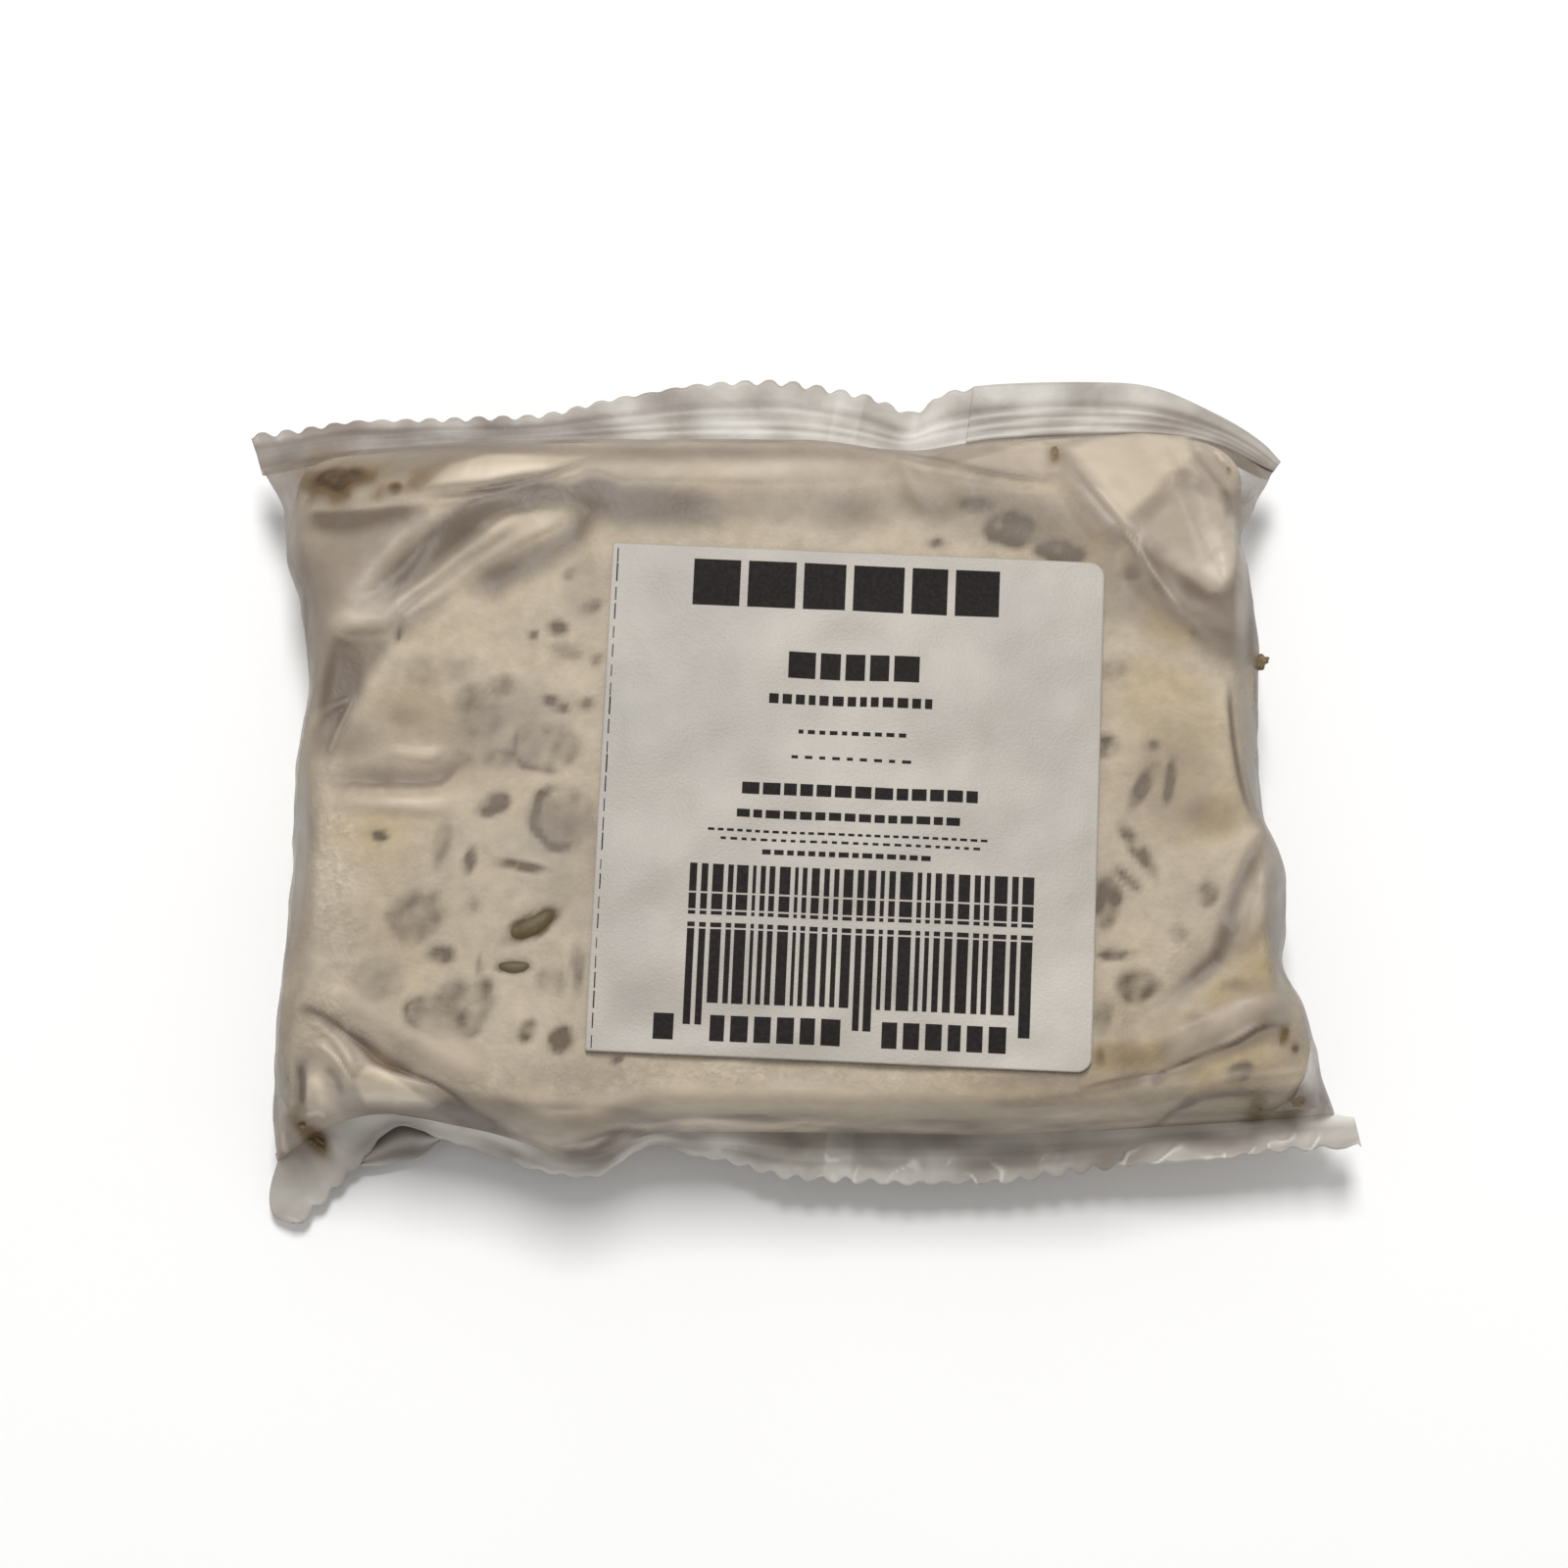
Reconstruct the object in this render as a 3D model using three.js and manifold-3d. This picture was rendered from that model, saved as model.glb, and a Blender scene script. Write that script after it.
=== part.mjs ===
import * as THREE from "three";
import { mergeVertices } from "three/addons/utils/BufferGeometryUtils.js";
import Module from "manifold-3d";

// A cake of tempeh shut in a milky flow-wrap bag, lying with its label up.
// Millimetres, +Z up. +X runs along the cake's long side and +Y points to the rear seal.
//
// The bag is a pillow: four rim curves are filled by a Coons patch, a top sheet rises from
// the rim over the cake, and a bottom sheet falls from it to the floor. A crimped seal with
// a scalloped edge is joined to the rear rim and another to the front rim.

// ---------------------------------------------------------------- driving dimensions

const CAKE_TOP = 22.6; // film height over the middle of the cake
const CROWN_DROP = new THREE.Vector2(0.9, 0.7); // how much lower the film lies at the cake's edges
const CAKE_HALF = new THREE.Vector2(47, 32.5); // half the cake's length and width
const RIM_HALF = new THREE.Vector2(52.5, 35.5); // half the rim's length and width

const SIDE_ROLL = 4.6; // plan width in which the film turns down over the left and right edges
const FRONT_ROLL = 3.6;
const REAR_ROLL = 5.2;
const FLOOR_ROLL = 3.4; // the same under the pack, from the rim to the flat underside
const ROLL_POWER = 2.2;

const GRID = { across: 54, along: 34 }; // steps of the top sheet
const GRID_CROWDING = 0.8; // 0 spaces the steps evenly, 1 crowds them towards the rim
const FLOOR_RINGS = [0.985, 0.955, 0.9];

const SEAL_THICK = 0.7;
const SEAL_INSET = 2.2; // how far a seal reaches into the pillow
const RIB_HEIGHT = 0.3;
const RIB_PLACES = [0, 0.25, 0.5, 0.75, 1]; // every second one is a crest
const TOOTH_PITCH = 2.55;
const TOOTH_DEPTH = 0.8;
const TOOTH_STEPS = 3;

const LABEL = { width: 50, height: 52, corner: 2.5, thick: 0.3, gap: 0.3, turn: -2.5 };
const LABEL_CENTRE = new THREE.Vector2(5.3, -3.7);
const LABEL_RINGS = [0.25, 0.5, 0.75, 1];
const LABEL_STEPS = { corner: 4, side: 8 }; // steps round a corner and along a side
const LABEL_CALM = { from: 1, to: 4 }; // folds fade out this near to the label

// ---------------------------------------------------------------- rim and seal curves

// Each curve runs left to right or front to rear through points [x, y, z].
const CORNERS = {
  frontLeft: [-53.3, -37.6, 4.2],
  frontRight: [57, -33.3, 8],
  rearLeft: [-56.2, 34.6, 11.5],
  rearRight: [51.3, 34.8, 9.5],
};

const RIM = {
  front: [
    CORNERS.frontLeft,
    [-48.5, -34.6, 6.5],
    [-42.5, -33.2, 8.3],
    [-30, -35.8, 9.2],
    [-21, -36.2, 9.3],
    [-15, -34.6, 9.4],
    [-4, -35, 9],
    [22, -35.3, 8.6],
    [40, -34.3, 8.2],
    CORNERS.frontRight,
  ],
  rear: [
    CORNERS.rearLeft,
    [-45, 36, 12.8],
    [-20, 36.8, 13.5],
    [0, 36.8, 13.5],
    [12.1, 35.4, 12.4],
    [22, 36.6, 13.2],
    [41, 37.4, 12],
    CORNERS.rearRight,
  ],
  left: [
    CORNERS.frontLeft,
    [-53, -30, 8.4],
    [-51.9, -22.5, 10],
    [-51.5, -5, 10.5],
    [-50.7, 7, 10.5],
    [-52.6, 22.5, 11],
    [-53, 30.2, 11.5],
    CORNERS.rearLeft,
  ],
  right: [
    CORNERS.frontRight,
    [54.3, -31, 8.4],
    [53.3, -26.5, 9],
    [50.5, -19.5, 10],
    [50.7, -9.5, 10.5],
    [48.3, -2, 10.5],
    [48.9, 13.5, 11],
    [47.3, 28.5, 10.4],
    CORNERS.rearRight,
  ],
};

const SEAL_EDGE = {
  front: [
    [-51.8, -43.8, 1.7],
    [-47, -39.2, 2.6],
    [-42.2, -34.6, 3.6],
    [-36, -35.8, 3.8],
    [-22.2, -38.8, 4.6],
    [-15.4, -35.6, 4.8],
    [-8.5, -37.4, 6],
    [-2, -39.8, 7],
    [19, -40.2, 7],
    [29, -39.2, 7.6],
    [37, -38.3, 9.4],
    [57.2, -36.9, 10.4],
  ],
  rear: [
    [-57, 38, 10.4],
    [-46, 39.3, 12],
    [-28, 39.7, 13.4],
    [-16.8, 41.9, 14.4],
    [-4, 43.1, 14.4],
    [7, 41.9, 13.8],
    [12.1, 40.5, 12.2],
    [17, 42.3, 13.6],
    [31, 43.2, 13.6],
    [39, 42.2, 12.6],
    [52.4, 36.4, 9],
  ],
};
const TOOTHED = { front: [0, 1], rear: [0, 0.69] }; // the rest of the rear edge is folded back, smooth

// ---------------------------------------------------------------- folds and corners

// A fold is a rounded ridge, or a groove where its height is negative. It runs from one
// plan point to another and bows to its left by bend. left and right are the widths in
// which its two flanks come back to the sheet.
const FOLDS = [
  // rear left: loose film pulled into pleats by the seal
  { from: [-50.5, 27.4], to: [-36.5, 26.6], bend: 0, height: -1.6, left: 3.4, right: 3.4 },
  { from: [-38, 28.6], to: [-47, 14.6], bend: 0, height: 1.7, left: 4.4, right: 4.4 },
  { from: [-22, 30.2], to: [-44.5, 17], bend: -2.8, height: -2.2, left: 3.6, right: 4.4 },
  { from: [-27, 27.4], to: [-43, 14], bend: -1, height: 1.4, left: 5, right: 3.6 },
  { from: [-19.5, 30.4], to: [-35, 18.4], bend: 1.8, height: -1.4, left: 3.6, right: 3.6 },
  { from: [-47.5, 15], to: [-34.5, 16.4], bend: 0, height: 1, left: 4, right: 2.8 },
  // left: the film lies in two levels over the cake
  { from: [-49, -0.8], to: [-32, 0.2], bend: -0.6, height: -1.1, left: 5, right: 3 },
  // front left: the corner is pinched towards its ear
  { from: [-51, -23.6], to: [-27, -36.8], bend: 0.4, height: -1.9, left: 3.6, right: 3.6 },
  { from: [-51, -27.2], to: [-34, -36], bend: 0, height: 1.5, left: 3.4, right: 4 },
  { from: [-45, -29.5], to: [-53.4, -38], bend: 0, height: 1.3, left: 3.4, right: 3.4 },
  // front right
  { from: [30, -32.6], to: [49.5, -25.4], bend: 0, height: -1.5, left: 3.2, right: 3.2 },
  { from: [36, -29.4], to: [49.5, -22.6], bend: 0, height: 1.2, left: 4, right: 3.2 },
  { from: [32, -34.8], to: [50, -31], bend: 0, height: -1.1, left: 2.8, right: 2.8 },
  // right: a short tuck that meets a long groove
  { from: [49.6, -8.8], to: [41.6, -19], bend: 0, height: 1.3, left: 3.6, right: 3.6 },
  { from: [43.4, -17], to: [31.2, -28.6], bend: 0, height: -1, left: 3.2, right: 3.2 },
  // rear right: the corner flap folded back over the cake
  { from: [26.5, 34.6], to: [47, 9.4], bend: -1.3, height: 1.5, left: 7, right: 3.2 },
  { from: [40.4, 36], to: [45, 18], bend: 0.4, height: 1.2, left: 3.6, right: 3.8 },
  { from: [10, 33], to: [28, 30.8], bend: 0.3, height: -0.9, left: 3, right: 3 },
  { from: [12.1, 35.6], to: [15.8, 25.6], bend: 0, height: -1.3, left: 3.6, right: 3.6 },
];

// To the left of each line the cake's corner is gone, and the film slopes down to the bag's ear.
const CORNER_SLOPES = [
  { from: [-34, -33.6], to: [-49.6, -23.6], slope: 0.85 },
  { from: [48.5, -24.6], to: [35, -32.4], slope: 0.5 },
  { from: [39, 34.4], to: [45.4, 24], slope: 0.55 },
  { from: [-49, 25.4], to: [-36.5, 33], slope: 0.5 },
];
const SLOPE_SOFTNESS = 1.2;

// ---------------------------------------------------------------- the film's sheets

function rimCurve(points) {
  const curve = new THREE.CatmullRomCurve3(
    points.map((p) => new THREE.Vector3(...p)),
    false,
    "catmullrom",
    0.5,
  );
  curve.arcLengthDivisions = 600;
  return curve;
}

const rim = Object.fromEntries(Object.entries(RIM).map(([side, points]) => [side, rimCurve(points)]));
const corner = Object.fromEntries(
  Object.entries(CORNERS).map(([name, p]) => [name, new THREE.Vector3(...p)]),
);

// The Coons patch: both pairs of opposite rim curves blended, less the corners counted twice.
function rimPatch(u, v) {
  const s = (u + 1) / 2;
  const t = (v + 1) / 2;
  const point = new THREE.Vector3();
  point.addScaledVector(rim.front.getPointAt(s), 1 - t);
  point.addScaledVector(rim.rear.getPointAt(s), t);
  point.addScaledVector(rim.left.getPointAt(t), 1 - s);
  point.addScaledVector(rim.right.getPointAt(t), s);
  point.addScaledVector(corner.frontLeft, -(1 - s) * (1 - t));
  point.addScaledVector(corner.frontRight, -s * (1 - t));
  point.addScaledVector(corner.rearLeft, -(1 - s) * t);
  point.addScaledVector(corner.rearRight, -s * t);
  return point;
}

// Where a plan point lies by a line: how far along it, from 0 to 1, and how far to its left.
function alongLine(line, x, y) {
  const [x0, y0] = line.from;
  const [x1, y1] = line.to;
  const length = Math.hypot(x1 - x0, y1 - y0);
  const dx = (x1 - x0) / length;
  const dy = (y1 - y0) / length;
  return {
    part: ((x - x0) * dx + (y - y0) * dy) / length,
    left: (y - y0) * dx - (x - x0) * dy,
  };
}

function foldHeight(fold, x, y) {
  const at = alongLine(fold, x, y);
  const belly = 4 * at.part * (1 - at.part);
  if (belly <= 0) return 0;
  const off = at.left - fold.bend * belly;
  const flank = Math.max(0, 1 - (off / (off > 0 ? fold.left : fold.right)) ** 2);
  return fold.height * Math.min(1, 1.5 * belly) * flank * flank;
}

function cornerDrop(edge, x, y) {
  const past = alongLine(edge, x, y).left;
  return (edge.slope * (past + Math.hypot(past, SLOPE_SOFTNESS))) / 2;
}

// How far a plan point lies outside the label's straight edges, negative inside.
function outsideLabel(x, y) {
  const p = new THREE.Vector2(x, y).sub(LABEL_CENTRE);
  p.rotateAround(new THREE.Vector2(), -THREE.MathUtils.degToRad(LABEL.turn));
  return Math.max(Math.abs(p.x) - LABEL.width / 2, Math.abs(p.y) - LABEL.height / 2);
}

// Height of the loose top sheet over a plan point: a low crown, its folds and its corners.
function filmTop(x, y) {
  const crown = CROWN_DROP.x * (x / CAKE_HALF.x) ** 4 + CROWN_DROP.y * (y / CAKE_HALF.y) ** 4;
  const free = THREE.MathUtils.smoothstep(outsideLabel(x, y), LABEL_CALM.from, LABEL_CALM.to);
  const folds = FOLDS.reduce((sum, fold) => sum + foldHeight(fold, x, y), 0);
  const drop = CORNER_SLOPES.reduce((sum, edge) => sum + cornerDrop(edge, x, y), 0);
  return CAKE_TOP - crown + free * folds - drop;
}

// A quarter round from 0 at the rim to 1 once the film has turned over the edge.
function roll(part, half, width) {
  const inward = Math.min(1, ((1 - Math.abs(part)) * half) / width);
  return Math.sqrt(1 - (1 - inward) ** ROLL_POWER);
}

function topPoint(u, v) {
  const point = rimPatch(u, v);
  const rise = roll(u, RIM_HALF.x, SIDE_ROLL) * roll(v, RIM_HALF.y, v < 0 ? FRONT_ROLL : REAR_ROLL);
  point.z += (filmTop(point.x, point.y) - point.z) * rise;
  return point;
}

function floorPoint(u, v) {
  const point = rimPatch(u, v);
  point.z *= 1 - roll(u, RIM_HALF.x, FLOOR_ROLL) * roll(v, RIM_HALF.y, FLOOR_ROLL);
  return point;
}

// ---------------------------------------------------------------- mesh making

// Collects points and triangles, and turns them into a solid or a geometry.
class Skin {
  constructor() {
    this.positions = [];
    this.indices = [];
  }

  add(point) {
    this.positions.push(point.x, point.y, point.z);
    return this.positions.length / 3 - 1;
  }

  // Joins two rows of equal length by triangles that face the side where row b lies to the left of a.
  // Each cell is split from a[i] to b[i + 1], or the other way where crossed(i) is true.
  band(a, b, crossed = () => false) {
    for (let i = 0; i + 1 < a.length; i += 1) {
      if (crossed(i)) {
        this.indices.push(a[i], a[i + 1], b[i]);
        this.indices.push(a[i + 1], b[i + 1], b[i]);
      } else {
        this.indices.push(a[i], a[i + 1], b[i + 1]);
        this.indices.push(a[i], b[i + 1], b[i]);
      }
    }
  }

  height(index) {
    return this.positions[3 * index + 2];
  }

  // Joins a row to one point.
  fan(row, tip) {
    for (let i = 0; i + 1 < row.length; i += 1) this.indices.push(row[i], row[i + 1], tip);
  }

  geometry() {
    const made = new THREE.BufferGeometry();
    made.setAttribute("position", new THREE.Float32BufferAttribute(this.positions, 3));
    made.setIndex(this.indices);
    return made;
  }
}

const closed = (row) => [...row, row[0]];
const reversed = (row) => [...row].reverse();

function crowded(step, steps) {
  const even = (2 * step) / steps - 1;
  return THREE.MathUtils.lerp(even, Math.sin((even * Math.PI) / 2), GRID_CROWDING);
}

function pillow() {
  const skin = new Skin();
  const us = Array.from({ length: GRID.across + 1 }, (_, i) => crowded(i, GRID.across));
  const vs = Array.from({ length: GRID.along + 1 }, (_, j) => crowded(j, GRID.along));
  const rows = vs.map((v) => us.map((u) => skin.add(topPoint(u, v))));
  for (let j = 0; j < GRID.along; j += 1) {
    // A cell is split along the diagonal that passes nearer to the sheet, so that folds stay clean.
    skin.band(rows[j], rows[j + 1], (i) => {
      const centre = topPoint((us[i] + us[i + 1]) / 2, (vs[j] + vs[j + 1]) / 2).z;
      const plain = (skin.height(rows[j][i]) + skin.height(rows[j + 1][i + 1])) / 2;
      const crossed = (skin.height(rows[j][i + 1]) + skin.height(rows[j + 1][i])) / 2;
      return Math.abs(crossed - centre) < Math.abs(plain - centre);
    });
  }

  // The rim's grid points in turn, anticlockwise from above, as [u, v, index].
  const last = { i: GRID.across, j: GRID.along };
  const loop = [
    ...us.slice(0, last.i).map((u, i) => [u, vs[0], rows[0][i]]),
    ...vs.slice(0, last.j).map((v, j) => [us[last.i], v, rows[j][last.i]]),
    ...us.slice(1).map((u, i) => [u, vs[last.j], rows[last.j][i + 1]]).reverse(),
    ...vs.slice(1).map((v, j) => [us[0], v, rows[j + 1][0]]).reverse(),
  ];
  let outer = loop.map(([, , index]) => index);
  for (const scale of FLOOR_RINGS) {
    const inner = loop.map(([u, v]) => skin.add(floorPoint(u * scale, v * scale)));
    skin.band(closed(inner), closed(outer));
    outer = inner;
  }
  skin.fan(reversed(closed(outer)), skin.add(floorPoint(0, 0)));
  return skin.geometry();
}

// A crimped strip from a rim curve to its outer edge, rooted inside the pillow.
function seal(side) {
  const inward = side === "rear" ? -1 : 1;
  const base = rim[side];
  const edge = rimCurve(SEAL_EDGE[side]);
  const [firstTooth, lastTooth] = TOOTHED[side];
  const teeth = Math.round(edge.getLength() / TOOTH_PITCH);
  const stations = teeth * TOOTH_STEPS;
  const skin = new Skin();
  const sections = [];

  for (let k = 0; k <= stations; k += 1) {
    const t = k / stations;
    const from = base.getPointAt(t);
    const across = edge.getPointAt(t).sub(from);
    const up = base.getTangentAt(t).cross(across).normalize().multiplyScalar(-inward);
    const notched = k % TOOTH_STEPS === 0 && t >= firstTooth && t <= lastTooth;
    const reach = 1 - (notched ? TOOTH_DEPTH / across.length() : 0);
    const root = from.clone().add(new THREE.Vector3(0, inward * SEAL_INSET, 0));
    const at = (place, lift) =>
      from.clone().addScaledVector(across, Math.min(place, reach)).addScaledVector(up, lift);
    const half = SEAL_THICK / 2;
    const upper = RIB_PLACES.map((place, i) => at(place, half + (i % 2) * RIB_HEIGHT));
    const lower = [at(1, -half), at(0, -half)];
    const loop = [
      root.clone().setZ(root.z + half),
      ...upper,
      ...lower,
      root.clone().setZ(root.z - half),
    ];
    sections.push(loop.map((point) => skin.add(point)));
  }

  const turn = side === "rear" ? (row) => row : reversed;
  for (let k = 0; k < stations; k += 1) {
    skin.band(closed(turn(sections[k + 1])), closed(turn(sections[k])));
  }
  capSection(skin, turn(sections[0]), sections[0].at(-2));
  capSection(skin, reversed(turn(sections[stations])), sections[stations].at(-2));
  return skin.geometry();
}

// Closes one end of a strip by a fan from one corner of its section.
function capSection(skin, loop, foot) {
  const start = loop.indexOf(foot);
  skin.fan([...loop.slice(start + 1), ...loop.slice(0, start)], foot);
}

const wasm = await Module();
wasm.setup();

function solid(geometry) {
  const merged = mergeVertices(geometry, 1e-4);
  return new wasm.Manifold(
    new wasm.Mesh({
      numProp: 3,
      vertProperties: merged.attributes.position.array,
      triVerts: new Uint32Array(merged.index.array),
    }),
  );
}

function geometryOf(manifold) {
  const mesh = manifold.getMesh();
  const made = new THREE.BufferGeometry();
  made.setAttribute("position", new THREE.BufferAttribute(mesh.vertProperties, 3));
  made.setIndex(new THREE.BufferAttribute(mesh.triVerts, 1));
  return made;
}

// ---------------------------------------------------------------- the label

// Plan outline of the label about its own middle: a rectangle with round corners.
function labelOutline() {
  const r = LABEL.corner;
  const reach = new THREE.Vector2(LABEL.width / 2 - r, LABEL.height / 2 - r);
  const outline = [];
  for (const [x, y] of [[1, 1], [-1, 1], [-1, -1], [1, -1]]) {
    const start = Math.atan2(y, x) - Math.PI / 4;
    const bend = Array.from({ length: LABEL_STEPS.corner + 1 }, (_, k) => {
      const angle = start + ((Math.PI / 2) * k) / LABEL_STEPS.corner;
      return new THREE.Vector2(x * reach.x + r * Math.cos(angle), y * reach.y + r * Math.sin(angle));
    });
    const next = new THREE.Vector2(-y * reach.x, x * reach.y);
    next.add(bend.at(-1)).sub(new THREE.Vector2(x * reach.x, y * reach.y));
    outline.push(...bend);
    for (let k = 1; k < LABEL_STEPS.side; k += 1) {
      outline.push(bend.at(-1).clone().lerp(next, k / LABEL_STEPS.side));
    }
  }
  return outline;
}

// The label is two like sheets over the film, joined round their edge.
function label() {
  const skin = new Skin();
  const outline = labelOutline();
  const turn = THREE.MathUtils.degToRad(LABEL.turn);
  const lay = (p, scale, lift) => {
    const q = p.clone().multiplyScalar(scale).rotateAround(new THREE.Vector2(), turn).add(LABEL_CENTRE);
    return skin.add(new THREE.Vector3(q.x, q.y, filmTop(q.x, q.y) + lift));
  };
  const sheet = (lift) => {
    const rings = LABEL_RINGS.map((scale) => closed(outline.map((p) => lay(p, scale, lift))));
    return { rings, middle: lay(new THREE.Vector2(), 0, lift) };
  };
  const under = sheet(LABEL.gap);
  const upper = sheet(LABEL.gap + LABEL.thick);
  skin.fan(upper.rings[0], upper.middle);
  skin.fan(reversed(under.rings[0]), under.middle);
  for (let k = 1; k < LABEL_RINGS.length; k += 1) {
    skin.band(upper.rings[k], upper.rings[k - 1]);
    skin.band(under.rings[k - 1], under.rings[k]);
  }
  skin.band(under.rings.at(-1), upper.rings.at(-1));
  return skin.geometry();
}

// ---------------------------------------------------------------- assembly

const filmMaterial = new THREE.MeshStandardMaterial({ color: 0xcdc4b8, roughness: 0.38, metalness: 0 });
const paperMaterial = new THREE.MeshStandardMaterial({ color: 0xd8d5cf, roughness: 0.55, metalness: 0 });

function named(name, geometry, material) {
  const mesh = new THREE.Mesh(geometry, material);
  mesh.name = name;
  return mesh;
}

const bag = solid(pillow()).add(solid(seal("rear"))).add(solid(seal("front")));

const pack = new THREE.Group();
pack.add(named("bag", geometryOf(bag), filmMaterial));
pack.add(named("label", label(), paperMaterial));

// The origin is under the middle of the pack, on the surface that it lies on.
const box = new THREE.Box3().setFromObject(pack);
const middle = box.getCenter(new THREE.Vector3());
pack.position.set(-middle.x, -middle.y, -box.min.z);

export default pack;
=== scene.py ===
"""A cake of tempeh shut in a milky flow-wrap bag with a paper label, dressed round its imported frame.

Lengths are millimetres in the pack's own drawing: +X along the cake's long side, +Y towards the rear
seal, +Z up. place() turns them into the frame's metres, and every piece's place is in its mesh.

The film is a pillow: four rim curves filled by a Coons patch, a top sheet that rises over the cake and
a bottom sheet that falls to the floor. The cake follows the top sheet's grooves but not its ridges.
"""

import math
from collections import namedtuple

import bpy
import numpy as np
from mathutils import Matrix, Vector


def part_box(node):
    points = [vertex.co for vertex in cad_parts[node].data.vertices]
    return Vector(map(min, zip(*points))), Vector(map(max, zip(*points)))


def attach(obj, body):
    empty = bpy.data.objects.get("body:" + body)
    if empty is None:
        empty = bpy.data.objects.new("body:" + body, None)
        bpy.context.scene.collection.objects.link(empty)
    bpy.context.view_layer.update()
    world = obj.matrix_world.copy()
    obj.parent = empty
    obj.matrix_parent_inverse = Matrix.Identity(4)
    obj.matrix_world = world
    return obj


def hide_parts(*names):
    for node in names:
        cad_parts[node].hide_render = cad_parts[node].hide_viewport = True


bl_info = {
    "name": "Tempeh Cake Pack",
    "version": (1, 0, 0),
    "blender": (4, 5, 0),
    "location": "3D View > Sidebar > Tempeh",
    "description": "Builds a cake of tempeh in a clear flow-wrap bag with a paper label",
    "category": "Object",
}

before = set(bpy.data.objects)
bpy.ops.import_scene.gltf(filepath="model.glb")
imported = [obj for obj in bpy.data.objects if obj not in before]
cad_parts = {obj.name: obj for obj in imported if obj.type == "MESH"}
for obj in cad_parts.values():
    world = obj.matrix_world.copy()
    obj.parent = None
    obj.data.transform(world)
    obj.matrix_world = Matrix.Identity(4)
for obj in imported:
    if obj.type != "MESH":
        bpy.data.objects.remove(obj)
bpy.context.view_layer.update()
MM = 0.001

# ---------------------------------------------------------------- the pack's drawing

LABEL_CENTRE = np.array([5.3, -3.7])
LABEL_BOX = [np.array(corner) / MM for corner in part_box("label")]
DRAWING_ORIGIN = np.append(((LABEL_BOX[0] + LABEL_BOX[1]) / 2)[:2] - LABEL_CENTRE, 0)

CAKE_TOP = 22.6  # film height over the middle of the cake
CROWN_DROP = (0.9, 0.7)  # how much lower the film lies at the cake's edges
CAKE_HALF = (47, 32.5)
RIM_HALF = np.array([52.5, 35.5])
SIDE_ROLL = 4.6  # plan width in which the film turns down over the left and right edges
FRONT_ROLL = 3
REAR_ROLL = 5.2
FLOOR_ROLL = 3.4
ROLL_POWER = 2.2
LABEL_CALM = (1, 4)  # folds fade out this near to the label

FRONT_LEFT = (-53.3, -37.6, 4.2)
FRONT_RIGHT = (55.2, -33.2, 8)
REAR_LEFT = (-56.2, 34.6, 11.5)
REAR_RIGHT = (50.4, 34.6, 9.5)

RIM = {
    "front": [
        FRONT_LEFT,
        (-48.5, -34.6, 6.5),
        (-42.5, -33.2, 8.3),
        (-35, -34.4, 8.8),
        (-31, -35.2, 8.6),
        (-27.2, -36.3, 8),
        (-23.8, -37.5, 7.2),
        (-19.6, -37.2, 7.2),
        (-16.4, -35.8, 8),
        (-12, -35.1, 8.8),
        (6, -35.2, 9),
        (22, -35.3, 8.6),
        (40, -34.3, 8.2),
        FRONT_RIGHT,
    ],
    "rear": [
        REAR_LEFT,
        (-45, 36, 12.8),
        (-20, 36.5, 13.5),
        (0, 36.4, 13.5),
        (12.1, 35.4, 12.4),
        (22, 36.6, 13.2),
        (41, 37.4, 12),
        REAR_RIGHT,
    ],
    "left": [
        FRONT_LEFT,
        (-53.2, -29.4, 8.4),
        (-52.2, -20.4, 10),
        (-51.5, -9.4, 10.5),
        (-51.4, 1.5, 10.5),
        (-50.4, 8, 10.5),
        (-50.5, 14, 10.8),
        (-51.4, 19.4, 11),
        (-53, 23.8, 11),
        (-53.5, 30, 11.5),
        REAR_LEFT,
    ],
    "right": [
        FRONT_RIGHT,
        (54.2, -31, 8.3),
        (53.3, -28.4, 8.6),
        (53, -26.4, 8.8),
        (51.7, -22.6, 9.4),
        (49.8, -18.8, 10),
        (50.2, -9.5, 10.5),
        (48.1, -3.4, 10.5),
        (47.7, 6.5, 10.8),
        (48, 14, 11),
        (47.2, 22, 10.8),
        (46.8, 27.5, 10.4),
        REAR_RIGHT,
    ],
}

SEAL_EDGE = {
    "front": [
        (-51.5, -44.2, 1.7),
        (-48.7, -41.7, 2),
        (-45.1, -37.9, 2.9),
        (-42.8, -34.9, 3.4),
        (-40.4, -33.8, 3.5),
        (-36.6, -35.1, 3.6),
        (-33.5, -36, 3.7),
        (-29.2, -37.6, 3.9),
        (-26.8, -38.6, 4.1),
        (-24.5, -39.1, 4.3),
        (-20.4, -38.9, 4.6),
        (-18, -37.7, 4.7),
        (-14.1, -36, 5),
        (-11.5, -36.5, 5.4),
        (-8, -37.6, 6),
        (-3, -39.2, 6.8),
        (3, -40, 7),
        (19, -40.2, 7),
        (29, -39.2, 7.6),
        (37, -38.3, 9.4),
        (55.5, -36.9, 10.4),
    ],
    "rear": [
        (-57.5, 38.5, 10.4),
        (-46, 39.6, 12),
        (-28, 39.9, 13.4),
        (-16.8, 41.8, 14.4),
        (-4, 43.4, 14.4),
        (7, 42.1, 13.8),
        (12.4, 40.5, 12.2),
        (17, 42.6, 13.6),
        (31, 43.3, 13.6),
        (38, 42.8, 13.2),
        (44.3, 40.3, 12.2),
        (49.1, 37.8, 10.4),
        (51.3, 35.9, 9),
    ],
}
TOOTHED = {"front": 1.0, "rear": 0.69}  # past this share the rear edge is folded back and smooth

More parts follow.
